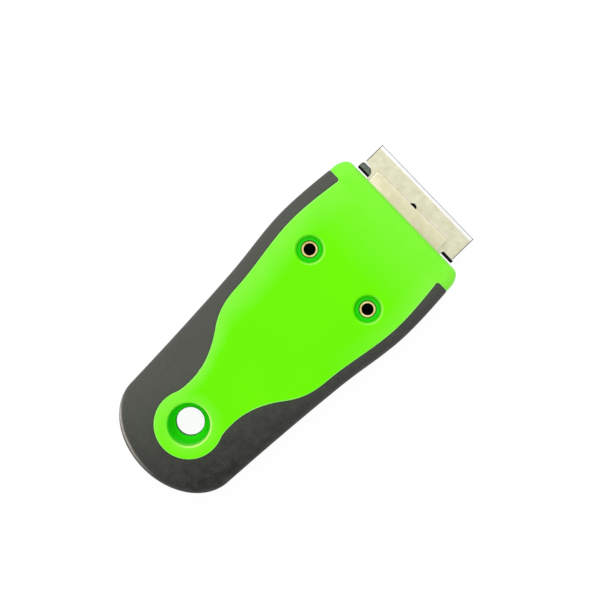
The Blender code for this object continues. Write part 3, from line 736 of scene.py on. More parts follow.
def placer(side, sink=0.0):
    """A function that lifts a flat point to the surface, sink below the panel's."""
    def place(x, y, drop):
        return surface_point(side, x, y - TAIL_END_Y, drop + sink)
    return place


def hole_rim(side):
    """Radius of the hanging hole inside its lip, and the lip's radius."""
    return (FUNNEL_RADIUS, FUNNEL_LIP) if side > 0 else (HOLE_RADIUS, BACK_LIP)


def make_shell(side, material):
    """The hard plastic of one half, with the panel's fillet, its wells or bores and the slot."""
    solid = bmesh.new()
    place = placer(side)
    fillets = fillet(PANEL_FILLET)

    def run_at(inset):
        right = head_side(inset, GRIP_END_REACH, fillets)
        return right + flipped(right[:-1])

    rows = edge_rows(side, run_at, 0.0)
    add_grid(solid, rows)
    outline = [place(*spot) for spot in border_line(0.0, PANEL_FILLET)] + rows[-1]
    lines = []
    # The last line keeps the painted edge highlight to a thin band at the panel's border.
    for depth_in, drop in fillets[1:] + [(PANEL_FILLET + HIGHLIGHT_STOP, 0.0)]:
        lines += border_line(-depth_in, drop)
    lines += front_lines()
    rim = WELL_RADIUS + WELL_FILLET if side > 0 else BORE_RADIUS + BORE_FILLET
    holes = [circle(centre, rim, place) for centre in SCREW_PLACES]
    holes.append(circle((0.0, HOLE_Y), sum(hole_rim(side)), place))
    fill_surface(solid, [outline] + holes, lines, place)
    bmesh.ops.remove_doubles(solid, verts=solid.verts, dist=MERGE)
    base = PARTING_Z + side * PARTING_GAP
    for loop in boundary_loops(solid):
        middle = sum((vertex.co for vertex in loop), Vector()) / len(loop)
        if len(loop) > 2 * HOLE_SEGMENTS:
            close_edge(solid, loop, side)
        elif middle.y < 0.0:
            close_hole(solid, loop, side, base)
        elif side > 0:
            close_well(solid, loop, (middle.x, middle.y), base)
        else:
            close_bore(solid, loop, (middle.x, middle.y), base)
    close_flat(solid)
    cut_slot(solid, side)
    mark_panel(solid)
    name, node = ("face_shell", "front_shell") if side > 0 else ("rear_shell", "back_shell")
    make_piece(name, solid, "handle", "green_plastic", material, node)


def close_hole(solid, loop, side, base):
    """Carries the hanging hole down from its rim to the flat side at the parting plane."""
    centre = (0.0, HOLE_Y)
    inner, lip = hole_rim(side)
    profile = [(inner + out, depth) for depth, out in quarter(lip, LIP_TURNS)]
    loop = sink_hole(solid, loop, centre, side, profile, lip)
    start = 0.0 if side > 0 else math.pi / 2
    end = math.asin(1 - (base - THROAT_Z) / BOWL_HEIGHT)
    start_level = THROAT_Z + BOWL_HEIGHT * (1 - math.sin(start))
    level = loop[0].co.z
    steps = [(inner, level + (start_level - level) * share) for share in (0.33, 0.66)]
    for turn in between(start, end, BOWL_STEPS):
        radius = HOLE_RADIUS + (FUNNEL_RADIUS - HOLE_RADIUS) * math.cos(turn)
        steps.append((radius, THROAT_Z + BOWL_HEIGHT * (1 - math.sin(turn))))
    level_rings(solid, loop, centre, steps)


def close_well(solid, loop, centre, base):
    """A conical recess with a rounded lip, round the insert's seat."""
    lean = math.degrees(math.atan2(WELL_RADIUS - WELL_FLOOR_RADIUS, WELL_DEPTH))
    turns = between(0.0, 90 - lean, WELL_STEPS)[1:]
    profile = [(WELL_RADIUS + out, depth) for depth, out in quarter(WELL_FILLET, turns)]
    wall_radius, wall_depth = profile[-1]
    for share in (0.5, 1.0):
        profile.append((wall_radius + (WELL_FLOOR_RADIUS - wall_radius) * share,
                        wall_depth + (WELL_DEPTH - WELL_FOOT - wall_depth) * share))
    rest = WELL_FOOT * WELL_FOOT_SHARE
    profile.append((WELL_FLOOR_RADIUS - rest, WELL_DEPTH - rest))
    profile.append((WELL_FLOOR_RADIUS - WELL_FOOT, WELL_DEPTH))
    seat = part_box("insert_left")[1].x + SCREW_X + INSERT_FIT
    profile.append((seat + SEAT_CHAMFER, WELL_DEPTH))
    profile.append((seat, WELL_DEPTH + SEAT_CHAMFER))
    loop = sink_hole(solid, loop, centre, 1, profile, WELL_DEPTH * WELL_LEVEL_SHARE)
    level_rings(solid, loop, centre, [(seat, base)])


def close_bore(solid, loop, centre, base):
    """The counterbore for the washer and the screw's head, and the passage past it."""
    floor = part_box("washer_left")[1].z + GAP
    steps = [(BORE_RADIUS + out, level) for level, out in quarter(BORE_FILLET)]
    steps += [(BORE_RADIUS, floor), (PASS_RADIUS + PASS_CHAMFER, floor)]
    steps += [(PASS_RADIUS, floor + PASS_CHAMFER), (PASS_RADIUS, base)]
    level_rings(solid, loop, centre, steps)


def add_box(solid, low, high):
    """Adds an upright box between two corners, and gives its vertices."""
    vertices = bmesh.ops.create_cube(solid, size=1.0)["verts"]
    for vertex in vertices:
        vertex.co = [a + (b - a) * (value + 0.5) for a, b, value in zip(low, high, vertex.co)]
    return vertices


def subtract(solid, cutter):
    """Cuts one closed mesh out of another."""
    objects = []
    for shape in (solid, cutter):
        bmesh.ops.recalc_face_normals(shape, faces=shape.faces)
        mesh = bpy.data.meshes.new("cut")
        shape.to_mesh(mesh)
        objects.append(add_object("cut", mesh))
    cut = objects[0].modifiers.new("cut", "BOOLEAN")
    cut.operation = "DIFFERENCE"
    cut.solver = "EXACT"
    cut.object = objects[1]
    graph = bpy.context.evaluated_depsgraph_get()
    result = bpy.data.meshes.new_from_object(objects[0].evaluated_get(graph))
    solid.clear()
    solid.from_mesh(result)
    cutter.free()
    for piece in objects:
        mesh = piece.data
        bpy.data.objects.remove(piece)
        bpy.data.meshes.remove(mesh)
    bpy.data.meshes.remove(result)


def cut_slot(solid, side):
    """Cuts the slot for the plates and the blade into the head's flat side."""
    roof = UPPER_PLATE_HIGH + GAP if side > 0 else LOWER_PLATE_LOW - GAP
    levels = sorted((roof, PARTING_Z - side * CUT_MARGIN))
    low = (-SLOT_HALF_WIDTH, SLOT_BACK_Y, levels[0])
    high = (SLOT_HALF_WIDTH, FRONT_Y + CUT_MARGIN, levels[1])
    cutter = bmesh.new()
    add_box(cutter, low, high)
    subtract(solid, cutter)


def mark_ledge_highlight(solid):
    """Stores where a painted highlight runs along the face's band as a light ledge, round the left of the
    tail's rim.
    """
    layer = solid.verts.layers.float.new("ledge")
    start, full, fading, end = LEDGE_TURNS
    for vertex in solid.verts:
        x, y, z = vertex.co
        reach = y - TAIL_END_Y
        if reach < TAIL_DEPTH and z > PARTING_Z:
            turn = math.atan2(x / TAIL_HALF_WIDTH, (TAIL_DEPTH - reach) / TAIL_DEPTH)
            low, high = LEDGE_INSETS
            middle = low + (high - low) * share_of(turn, start, fading)
            off = (inset_at(x, reach) - middle) / LEDGE_WIDTH
            ends = share_of(turn, start, full) * share_of(turn, end, fading)
            vertex[layer] = math.exp(-off * off) * ends


def make_grip(side, material):
    """The soft band of one half: the rounded outer edge, the tail and the edge along the panel."""
    solid = bmesh.new()
    place = placer(side, PANEL_STEP)
    fillets = fillet(GRIP_FILLET)

    def run_at(inset):
        right = tail_and_side(inset, GRIP_END_REACH - SEAM, fillets)
        return flipped(right[1:]) + right

    rows = edge_rows(side, run_at, PANEL_STEP)
    add_grid(solid, rows)
    border = [place(*spot) for spot in border_line(SEAM, GRIP_FILLET)]
    lines = []
    for depth_in, drop in fillets[1:]:
        lines += border_line(SEAM + depth_in, drop)
    fill_surface(solid, [rows[-1] + border[::-1]], lines, place)
    bmesh.ops.remove_doubles(solid, verts=solid.verts, dist=MERGE)
    for loop in boundary_loops(solid):
        close_edge(solid, loop, side)
    close_flat(solid)
    mark_ledge_highlight(solid)
    name, node = ("face_band", "grip_front") if side > 0 else ("rear_band", "grip_back")
    make_piece(name, solid, "handle", "dark_rubber", material, node)


def shaped(kind, radius, level, turn):
    """Radius of a turned ring at an angle, for its kind of section."""
    if kind == "thread":
        share = (level / THREAD_PITCH + turn / (2 * math.pi)) % 1.0
        return radius + THREAD_DEPTH * (1 - abs(2 * share - 1))
    if kind == "knurl":
        share = (turn * KNURL_TEETH / (2 * math.pi)) % 1.0
        return radius - KNURL_DEPTH * (1 - abs(2 * share - 1))
    if kind == "hex":
        return radius / math.cos((turn + math.pi / 6) % (math.pi / 3) - math.pi / 6)
    return radius


def lathe(solid, centre, rows, closed):
    """Rings round an upright axis. rows gives (kind, radius, z). A closed run joins its last ring to
    its first, and an open one gets a small flat cap at each end."""
    layer = solid.verts.layers.float.new("turned")
    rings = []
    for kind, radius, level in rows:
        ring = []
        for turn in between(0.0, 2 * math.pi, TURNED_SEGMENTS)[:-1]:
            reach = shaped(kind, radius, level, turn)
            spot = (centre[0] + reach * math.cos(turn), centre[1] + reach * math.sin(turn), level)
            ring.append(solid.verts.new(spot))
            ring[-1][layer] = reach
        rings.append(ring)
    pairs = list(zip(rings, rings[1:]))
    if closed:
        pairs.append((rings[-1], rings[0]))
    else:
        solid.faces.new(rings[0])
        solid.faces.new(rings[-1])
    for ring_a, ring_b in pairs:
        join_rings(solid, ring_a, ring_b)


def turned_shape(side, rows, closed):
    """A turned shape round a screw's axis."""
    solid = bmesh.new()
    lathe(solid, (side * SCREW_X, SCREW_Y), rows, closed)
    return solid


def section(kind, *pairs):
    """Rows of one kind of turned section, from (radius, z) pairs."""
    return [(kind, radius, level) for radius, level in pairs]


def thread_rows(radius, low, high):
    count = round((high - low) / (THREAD_PITCH / 6))
    return section("thread", *[(radius, level) for level in between(low, high, count)])


def turned_sizes(node):
    """The lowest and the highest level of a turned node, and its outer radius."""
    low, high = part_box(node)
    return low.z, high.z, (high.x - low.x) / 2


def make_insert(name, side, material):
    """The brass insert: a flat rim with a chamfer, a knurled outside and a threaded bore."""
    node = "insert_" + name
    low, high, outer = turned_sizes(node)
    band = (high - low - 2 * INSERT_CHAMFER) / 5
    top = high - INSERT_CHAMFER
    groove = outer - INSERT_GROOVE
    rows = section("plain", (INSERT_MOUTH, high), (outer - INSERT_CHAMFER, high), (outer, top))
    rows += section("knurl", (outer, top - 0.2 * band), (outer, top - 2 * band))
    rows += section("plain", (groove, top - 2.2 * band), (groove, top - 2.8 * band))
    rows += section("knurl", (outer, top - 3 * band), (outer, low + 0.8 * band))
    rows += section("plain", (groove, low + 0.5 * band), (groove, low), (INSERT_MOUTH, low))
    rows += thread_rows(BORE_THREAD_ROOT, low + INSERT_CHAMFER / 2, high - INSERT_CHAMFER / 2)
    make_piece("threaded_" + node, turned_shape(side, rows, True), "handle", "brass", material, node)


def make_screw(name, side, material):
    """A clamp screw: a low domed head with a hexagon socket, and a thread up to its tip."""
    node = "clamp_screw_" + name
    low, tip, _ = turned_sizes(node)
    seat = low + HEAD_HEIGHT
    floor = low + SOCKET_DEPTH
    mouth = SOCKET_APOTHEM / math.cos(math.pi / 6) + SOCKET_CHAMFER / 3
    rows = section("plain", (SOCKET_APOTHEM / 9, floor + SOCKET_CHAMFER))
    rows += section("hex", (SOCKET_APOTHEM * 0.96, floor), (SOCKET_APOTHEM, floor - SOCKET_CHAMFER / 5),
                    (SOCKET_APOTHEM, low + SOCKET_CHAMFER))
    rows += section("plain", (mouth, low + SOCKET_CHAMFER / 6), (mouth + SOCKET_CHAMFER / 3, low))
    flat = 0.6 * HEAD_RADIUS
    dome = 0.75 * HEAD_HEIGHT
    for turn in between(0.0, math.pi / 2, DOME_STEPS):
        radius = flat + (HEAD_RADIUS - flat) * math.sin(turn)
        rows += section("plain", (radius, low + dome * (1 - math.cos(turn))))
    rows += section("plain", (HEAD_RADIUS, seat - WASHER_EDGE), (HEAD_RADIUS - WASHER_EDGE, seat),
                    (THREAD_ROOT + WASHER_EDGE, seat), (THREAD_ROOT, seat + WASHER_EDGE))
    rows += thread_rows(THREAD_ROOT, seat + THREAD_PITCH, tip - THREAD_PITCH / 2)
    rows += section("plain", (THREAD_ROOT, tip - THREAD_PITCH / 3), (THREAD_ROOT * 0.75, tip),
                    (THREAD_ROOT / 10, tip))
    solid = turned_shape(side, rows, False)
    make_piece("hex_screw_" + name, solid, f"screw_{name}_body", "black_steel", material, node)


def make_washer(name, side, material):
    """A punched washer, rounded on the punch's side and sharp on the other."""
    node = "washer_" + name
    low, high, outer = turned_sizes(node)
    bore = THREAD_ROOT + THREAD_DEPTH + GAP / 2
    burr = WASHER_EDGE / 3
    rounding = quarter(WASHER_EDGE, EDGE_TURNS)
    rows = section("plain", (bore, high - burr), (bore + burr, high))
    rows += section("plain", (outer - burr, high), (outer, high - burr))
    rows += section("plain", *[(outer - inset, low + up) for inset, up in rounding])
    rows += section("plain", *[(bore + inset, low + up) for inset, up in reversed(rounding)])
    make_piece("flat_" + node, turned_shape(side, rows, True), "handle", "zinc_steel", material, node)


def rounded(corners):
    """A closed run of points through (x, y, radius) corners, each rounded off."""
    points = []
    spots = [Vector((x, y)) for x, y, radius in corners]
    radii = [radius for x, y, radius in corners]
    for before, (corner, after), radius in zip(spots[-1:] + spots, followers(spots), radii):
        if radius == 0.0:
            points.append(corner)
            continue
        start = corner + (before - corner).normalized() * radius
        end = corner + (after - corner).normalized() * radius
        for share in between(0.0, 1.0, CURVE_STEPS):
            middle = corner * (2 * share * (1 - share))
            points.append(start * (1 - share) ** 2 + middle + end * share ** 2)
    return points


def moved_in(points, distance):
    """A closed counter-clockwise run of points moved inwards."""
    result = []
    for before, (here, after) in zip(points[-1:] + points, followers(points)):
        way_in = (here - before).normalized()
        way_out = (after - here).normalized()
        normal = Vector((-way_in.y - way_out.y, way_in.x + way_out.x)).normalized()
        slant = max(normal.dot(Vector((-way_in.y, way_in.x))), 0.5)
        result.append(here + normal * (distance / slant))
    return result


def mirrored(corners):
    """Right-side corners on the left side, from their end back to their start."""
    return [(-x, y, radius) for x, y, radius in reversed(corners)]


def flat_plate(outline, hole_centres, low, high):
    """A sheet-metal plate with rounded edges round its outline and its holes."""
    solid = bmesh.new()
    loops = [(outline, 1)]
    for centre in hole_centres:
        hole = round_points(centre, PASS_RADIUS, TURNED_SEGMENTS)
        loops.append(([Vector(spot) for spot in hole], -1))
    profile = [(inset, high - down) for inset, down in reversed(quarter(PLATE_EDGE, EDGE_TURNS))]
    profile += [(inset, low + high - level) for inset, level in reversed(profile)]
    tops = []
    bottoms = []
    for points, way in loops:
        rings = []
        for inset, level in profile:
            rings.append([Vector((p.x, p.y, level)) for p in moved_in(points, way * inset)])
        loop = [solid.verts.new(spot) for spot in rings[0]]
        tops.append(loop)
        for spots in rings[1:]:
            loop = extend(solid, loop, spots)
        bottoms.append(loop)
    for group in (tops, bottoms):
        edges = []
        for loop in group:
            for pair in followers(loop):
                edges.append(solid.edges.get(pair) or solid.edges.new(pair))
        bmesh.ops.triangle_fill(solid, edges=edges, use_beauty=True)
    return solid


def askew(x, y):
    """Where the upper plate's skew and sideways play take a point of its true outline."""
    across = x * math.cos(PLATE_SKEW) - (y - SCREW_Y) * math.sin(PLATE_SKEW)
    forward = x * math.sin(PLATE_SKEW) + (y - SCREW_Y) * math.cos(PLATE_SKEW)
    return across + PLATE_SHIFT, SCREW_Y + forward


def make_upper_plate(material):
    """The T-shaped plate over the blade, a little askew on its screws."""
    half = PLATE_WIDTH / 2
    tongue = TONGUE_WIDTH / 2
    shoulder = FRONT_Y - PLATE_SETBACK
    tip = FRONT_Y + TONGUE_OUT
    right = [(half, PLATE_BACK_Y, PLATE_CORNER), (half, shoulder, PLATE_CORNER),
             (tongue, shoulder, INNER_CORNER), (tongue, tip, TONGUE_CORNER)]
    outline = rounded([(*askew(x, y), radius) for x, y, radius in right + mirrored(right)])
    centres = [askew(*place) for place in SCREW_PLACES]
    solid = flat_plate(outline, centres, UPPER_PLATE_LOW, UPPER_PLATE_HIGH)
    make_piece("tongue_plate", solid, "handle", "plate_steel", material, "upper_clamp_plate")


def bed_corners(ear_out):
    """The bed's right side, with its ear reaching ear_out past the handle's front."""
    half = PLATE_WIDTH / 2
    shoulder = FRONT_Y - EAR_GAP
    ear_back = FRONT_Y + EAR_GAP
    tip = FRONT_Y + ear_out
    corner = min(EAR_CORNER, ear_out / 3)
    return [(half, PLATE_BACK_Y, PLATE_CORNER), (half, shoulder, PLATE_CORNER),
            (EAR_NECK_HALF_WIDTH, shoulder, EAR_GAP), (EAR_NECK_HALF_WIDTH, ear_back, EAR_GAP),
            (EAR_HALF_WIDTH, ear_back, EAR_GAP), (EAR_HALF_WIDTH, tip, corner),
            (BED_HALF_WIDTH, tip, corner), (BED_HALF_WIDTH, FRONT_Y + BED_OUT, PLATE_CORNER)]


def make_lower_plate(material):
    """The bed under the blade, with an ear at each front corner and two upturned stops behind."""
    outline = rounded(bed_corners(RIGHT_EAR_OUT) + mirrored(bed_corners(LEFT_EAR_OUT)))
    solid = flat_plate(outline, SCREW_PLACES, LOWER_PLATE_LOW, LOWER_PLATE_HIGH)
    stop_front = EDGE_Y - BLADE_DEPTH - GAP
    for side in (-1, 1):
        middle = side * STOP_SPACING / 2
        low = (middle - STOP_WIDTH / 2, stop_front - STOP_LENGTH, LOWER_PLATE_HIGH)
        high = (middle + STOP_WIDTH / 2, stop_front, UPPER_PLATE_LOW - GAP)
        stop = add_box(solid, low, high)
        tops = {edge for vertex in stop for edge in vertex.link_edges if vertex.co.z > PARTING_Z}
        bmesh.ops.bevel(solid, geom=list(tops), offset=PLATE_EDGE, segments=3, affect="EDGES")
    make_piece("bed_plate", solid, "handle", "dark_steel", material, "lower_clamp_plate")


def blade_outline():
    """The blade's outline, with a square notch at the right and a slanting one at the left."""
    half = BLADE_HALF_WIDTH
    back = EDGE_Y - BLADE_DEPTH + SPINE_SHEET + SPINE_SLACK
    bevel = EDGE_Y - BLADE_BEVEL
    inner = half - NOTCH_DEPTH
    soft = NOTCH_ROUND / 4
    far = EDGE_Y - RIGHT_NOTCH_TO_EDGE
    near = far - NOTCH_LENGTH
    corners = [(-half, back, 0.0), (half, back, 0.0), (half, near, soft)]
    corners += [(inner, near, NOTCH_ROUND), (inner, far, NOTCH_ROUND), (half, far, soft)]
    corners += [(half, bevel, 0.0), (half, EDGE_Y, 0.0), (-half, EDGE_Y, 0.0), (-half, bevel, 0.0)]
    far = EDGE_Y - LEFT_NOTCH_TO_EDGE
    near = far - NOTCH_LENGTH
    corners += [(-half, far + NOTCH_SLANT, soft), (-inner - NOTCH_ROUND, far, NOTCH_ROUND / 2)]
    corners += [(-inner, far - NOTCH_SLANT, NOTCH_ROUND), (-inner, near, NOTCH_ROUND), (-half, near, soft)]
    return rounded(corners)


def make_blade(material):
    """The blade: flat, with the edge ground from both faces, a notch at each side and a hole."""
    solid = bmesh.new()

    def level(y, side):
        return PARTING_Z + side * BLADE_HALF_THICKNESS * min(1.0, (EDGE_Y - y) / BLADE_BEVEL)

    hole = (0.0, EDGE_Y - BLADE_HOLE_TO_EDGE)
    bevel_y = EDGE_Y - BLADE_BEVEL
    steps = round(2 * BLADE_HALF_WIDTH / GRID)
    across = between(-BLADE_HALF_WIDTH, BLADE_HALF_WIDTH, steps)[1:-1]
    bevel_line = [(x, bevel_y, 0.0) for x in across]
    for side in (1, -1):
        def place(x, y, drop):
            return Vector((x, y, level(y, side)))

        outline = [place(p.x, p.y, 0.0) for p in blade_outline()]
        fill_surface(solid, [outline, circle(hole, BLADE_HOLE_RADIUS, place)], bevel_line, place)
        if side > 0:
            for loop in boundary_loops(solid):
                extend(solid, loop, [Vector((v.co.x, v.co.y, level(v.co.y, -1))) for v in loop])
    bmesh.ops.remove_doubles(solid, verts=solid.verts, dist=WELD)
    bmesh.ops.dissolve_degenerate(solid, edges=solid.edges, dist=WELD / 10)
    make_piece("ground_blade", solid, "blade", "blade_steel", material, "razor_blade")


def make_spine(material):
    """A strip folded over the blade's back edge, with a round fold."""
    inner = BLADE_HALF_THICKNESS + SPINE_SLACK
    outer = inner + SPINE_SHEET
    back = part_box("blade_spine")[0].y
    front = back + SPINE_DEPTH
    profile = []
    for radius, way in ((outer, 1), (inner, -1)):
        profile.append((front, -way * radius))
        for turn in between(0.0, math.pi, FOLD_STEPS):
            profile.append((back + outer - radius * math.sin(turn), -way * radius * math.cos(turn)))
        profile.append((front, way * radius))
    solid = bmesh.new()
    ends = []
    for x in (-BLADE_HALF_WIDTH, BLADE_HALF_WIDTH):
        ends.append([solid.verts.new((x, y, PARTING_Z + z)) for y, z in profile])
        solid.faces.new(ends[-1])
    join_rings(solid, *ends)
    bmesh.ops.triangulate(solid, faces=[face for face in solid.faces if len(face.verts) > 4])
    make_piece("folded_spine", solid, "blade", "plate_steel", material, "blade_spine")


def tone(red, green, blue):
    """Linear colour from 0-255 screen values."""
    shares = [value / 255 for value in (red, green, blue)]
    linear = [s / 12.92 if s <= 0.04045 else ((s + 0.055) / 1.055) ** 2.4 for s in shares]
    return (*linear, 1.0)


class Recipe:
    """A material in the making: its shader, its colour so far, and short ways to add nodes."""

    def __init__(self, name, base=(255, 255, 255), metallic=0.0, specular=0.5):
        self.colour = tone(*base)
        self.material = bpy.data.materials.new(name)
        self.material.use_nodes = True
        self.tree = self.material.node_tree
        self.shader = self.tree.nodes["Principled BSDF"]
        self.shader.inputs["Metallic"].default_value = metallic
        self.shader.inputs["Specular IOR Level"].default_value = specular
        self.place = self.add("ShaderNodeTexCoord").outputs["Object"]

    def add(self, kind, **inputs):
        node = self.tree.nodes.new(kind)
        for name, value in inputs.items():
            self.feed(node.inputs[name.replace("_", " ")], value)
        return node

    def feed(self, socket, value):
        if isinstance(value, bpy.types.NodeSocket):
            self.tree.links.new(value, socket)
        else:
            socket.default_value = value

    def noise(self, size, detail=3.0, rough=0.5, stretch=(1.0, 1.0, 1.0)):
        """Noise whose spots are about size metres across, stretched along the axes."""
        scale = tuple(1 / (size * by) for by in stretch)
        spots = self.add("ShaderNodeVectorMath")
        spots.operation = "MULTIPLY"
        self.feed(spots.inputs[0], self.place)
        self.feed(spots.inputs[1], scale)
        texture = self.add("ShaderNodeTexNoise", Vector=spots.outputs[0], Scale=1.0, Detail=detail,
                           Roughness=rough)
        return texture.outputs["Fac"]

    def spread(self, value, low, high, start=0.0, end=1.0):
        """Carries the part of a value between low and high over to start and end."""
        node = self.add("ShaderNodeMapRange", Value=value, From_Min=low, From_Max=high,
                        To_Min=start, To_Max=end)
        return node.outputs[0]

    def patches(self, size, low, high, start=0.0, end=1.0, **noise):
        """Noise of a size, of which the part between low and high is carried to start and end."""
        return self.spread(self.noise(size, **noise), low, high, start, end)

    def uneven(self, size, low, high):
        """A value that wanders between low and high."""
        return self.patches(size, 0.3, 0.7, low, high)

    def mark(self, name):
        node = self.add("ShaderNodeAttribute")
        node.attribute_name = name
        return node.outputs["Fac"]

    def marked(self, name, share):
        """A mark of the mesh's vertices, times a share."""
        return self.maths("MULTIPLY", self.mark(name), share)

    def rings(self, count):
        """Turning marks: noise over the distance from a turned piece's axis, count to the metre."""
        texture = self.add("ShaderNodeTexNoise")
        texture.noise_dimensions = "1D"
        self.feed(texture.inputs["W"], self.marked("turned", count))
        texture.inputs["Scale"].default_value = 1.0
        return texture.outputs["Fac"]

    def maths(self, operation, first, second=0.0):
        node = self.add("ShaderNodeMath")
        node.operation = operation
        self.feed(node.inputs[0], first)
        self.feed(node.inputs[1], second)
        return node.outputs[0]

    def axis(self, index):
        return self.add("ShaderNodeSeparateXYZ", Vector=self.place).outputs[index]

    def mix(self, share, first, second):
        node = self.add("ShaderNodeMix")
        node.data_type = "RGBA"
        self.feed(node.inputs["Factor"], share)
        self.feed(node.inputs[6], first)
        self.feed(node.inputs[7], second)
        return node.outputs[2]

    def paint(self, share, colour):
        """Lays a share of a colour, given in screen values, over the colour so far."""
        self.colour = self.mix(share, self.colour, tone(*colour))

    def finish(self, roughness, *bumps):
        """Links the colour, the roughness and (height, strength, distance) bumps to the shader."""
        self.feed(self.shader.inputs["Base Color"], self.colour)
        self.feed(self.shader.inputs["Roughness"], roughness)
        normal = None
        for height, strength, distance in bumps:
            bump = self.add("ShaderNodeBump", Height=height, Strength=strength, Distance=distance)
            if normal is not None:
                self.feed(bump.inputs["Normal"], normal)
            normal = bump.outputs[0]
        self.feed(self.shader.inputs["Normal"], normal)
        return self.material


def lime_plastic():
    """Glossy moulded plastic: saturated in the middle, with painted sheen towards its borders, painted
    highlights on its edges and lips, and painted shade in its recesses and at the hole's throat.
    """
    recipe = Recipe("lime_plastic", (110, 250, 0), specular=0.06)
    recipe.paint(recipe.patches(0.016, 0.42, 0.66, detail=2.0), (114, 252, 0))
    # Painted sheen: paler towards the panel's sides, its front and round the hanging hole.
    pale = recipe.marked("pale", recipe.patches(0.009, 0.3, 0.7, 0.75, 1.15))
    recipe.paint(recipe.spread(pale, 0.0, 0.8), (138, 252, 66))
    grain = recipe.noise(0.0005, detail=2.0)
    recipe.paint(recipe.spread(grain, 0.3, 0.7, 0.0, 0.1), (104, 240, 0))
    # Painted highlight: pale lines on the plastic's sharper edges.
    recipe.paint(recipe.marked("edge", recipe.patches(0.004, 0.3, 0.6, 0.5, 0.9)), (168, 250, 128))
    # Painted shade: deeper green in the wells and the bores, and in the hanging hole's bowl.
    recipe.paint(recipe.marked("deep", 0.9), (8, 216, 8))
    recipe.paint(recipe.marked("bowl", 0.9), (34, 240, 8))
    # Painted shadow: a grey ring at the hanging hole's throat.
    recipe.paint(recipe.marked("throat", 0.8), (84, 96, 90))
    # Painted highlight: a pale glint on the lips of the recesses, strongest on one side.
    recipe.paint(recipe.mark("lip"), (228, 255, 150))
    recess = recipe.maths("MAXIMUM", recipe.mark("deep"), recipe.mark("bowl"))
    duller = recipe.maths("MULTIPLY", recess, 0.5)
    roughness = recipe.maths("ADD", recipe.uneven(0.006, 0.27, 0.38), duller)
    ripples = recipe.noise(0.0045, detail=1.0)
    return recipe.finish(roughness, (grain, 0.05, 0.00002), (ripples, 0.12, 0.00012))


def charcoal_rubber():
    """Matt soft moulding with a fine grain and specks, greyer towards the left by a painted sheen, with a
    painted highlight round the left of the tail.
    """
    recipe = Recipe("charcoal_rubber", (18, 21, 15), specular=0.2)
    # Painted sheen: greyer towards the left, slanting back along the right.
    past_front = recipe.maths("SUBTRACT", recipe.axis(1), SHEEN_FRONT)
    forward = recipe.maths("MULTIPLY", past_front, SHEEN_SLANT)
    across = recipe.maths("SUBTRACT", recipe.axis(0), forward)
    recipe.paint(recipe.spread(across, SHEEN_RIGHT, SHEEN_LEFT), (81, 83, 76))
    recipe.paint(recipe.patches(0.0024, 0.35, 0.7, 0.0, 0.36, detail=5.0, rough=0.7), (84, 85, 79))
    recipe.paint(recipe.patches(0.0004, 0.60, 0.72, 0.0, 0.5, rough=0.7), (112, 111, 104))
    recipe.paint(recipe.patches(0.0005, 0.56, 0.74, 0.0, 0.45, rough=0.7), (34, 35, 31))
    # Painted highlight: a light line along the band round the left of the tail.
    recipe.paint(recipe.marked("ledge", recipe.patches(0.0012, 0.3, 0.6, 0.7, 1.0)), (206, 198, 188))
    grain = recipe.noise(0.00028, rough=0.6)
    waves = recipe.noise(0.003, detail=2.0)
    return recipe.finish(recipe.uneven(0.005, 0.56, 0.7), (grain, 0.4, 0.00003), (waves, 0.15, 0.00008))


def turned_brass():
    """Turned brass: fine rings, with painted shade on the outer rim of its top and in the bore."""
    recipe = Recipe("turned_brass", (204, 174, 98), metallic=1.0)
    recipe.paint(recipe.patches(0.0016, 0.35, 0.65), (240, 222, 158))
    reach = recipe.mark("turned")
    # Painted shade: darker at the top's outer rim and dark in the bore.
    recipe.paint(recipe.spread(reach, *BRASS_RIM_SHADE), (120, 66, 18))
    recipe.paint(recipe.spread(reach, *BRASS_BORE_SHADE), (44, 27, 8))
    return recipe.finish(recipe.uneven(0.0009, 0.2, 0.36), (recipe.rings(9000.0), 0.25, 0.00002))


def black_oxide():
    """Blackened steel, rubbed bright on its edges, with painted shade making it nearly black towards the
    tip.
    """
    recipe = Recipe("black_oxide", (38, 38, 40), metallic=1.0)
    recipe.paint(recipe.patches(0.0012, 0.35, 0.7, detail=4.0), (58, 56, 55))
    recipe.paint(recipe.marked("edge", recipe.patches(0.0007, 0.4, 0.65, 0.05, 0.75)), (142, 134, 124))
    # Painted shade: nearly black towards the tip, down in the bore.
    recipe.paint(recipe.spread(recipe.axis(2), *SHADED_TIP), (4, 4, 4))
    grain = recipe.noise(0.0003)
    return recipe.finish(recipe.uneven(0.0008, 0.36, 0.52), (recipe.rings(7000.0), 0.2, 0.00002),
                         (grain, 0.15, 0.00002))


def zinc_plate():
    """Zinc plating: bluish grey with a faint spangle and punching marks."""
    recipe = Recipe("zinc_plate", (176, 180, 186), metallic=1.0)
    recipe.paint(recipe.patches(0.0014, 0.35, 0.65, detail=4.0, rough=0.6), (214, 214, 210))
    recipe.paint(recipe.marked("edge", 0.6), (236, 236, 232))
    grain = recipe.noise(0.0004)
    return recipe.finish(recipe.uneven(0.0007, 0.3, 0.46), (recipe.rings(6000.0), 0.15, 0.00002),
                         (grain, 0.1, 0.00002))


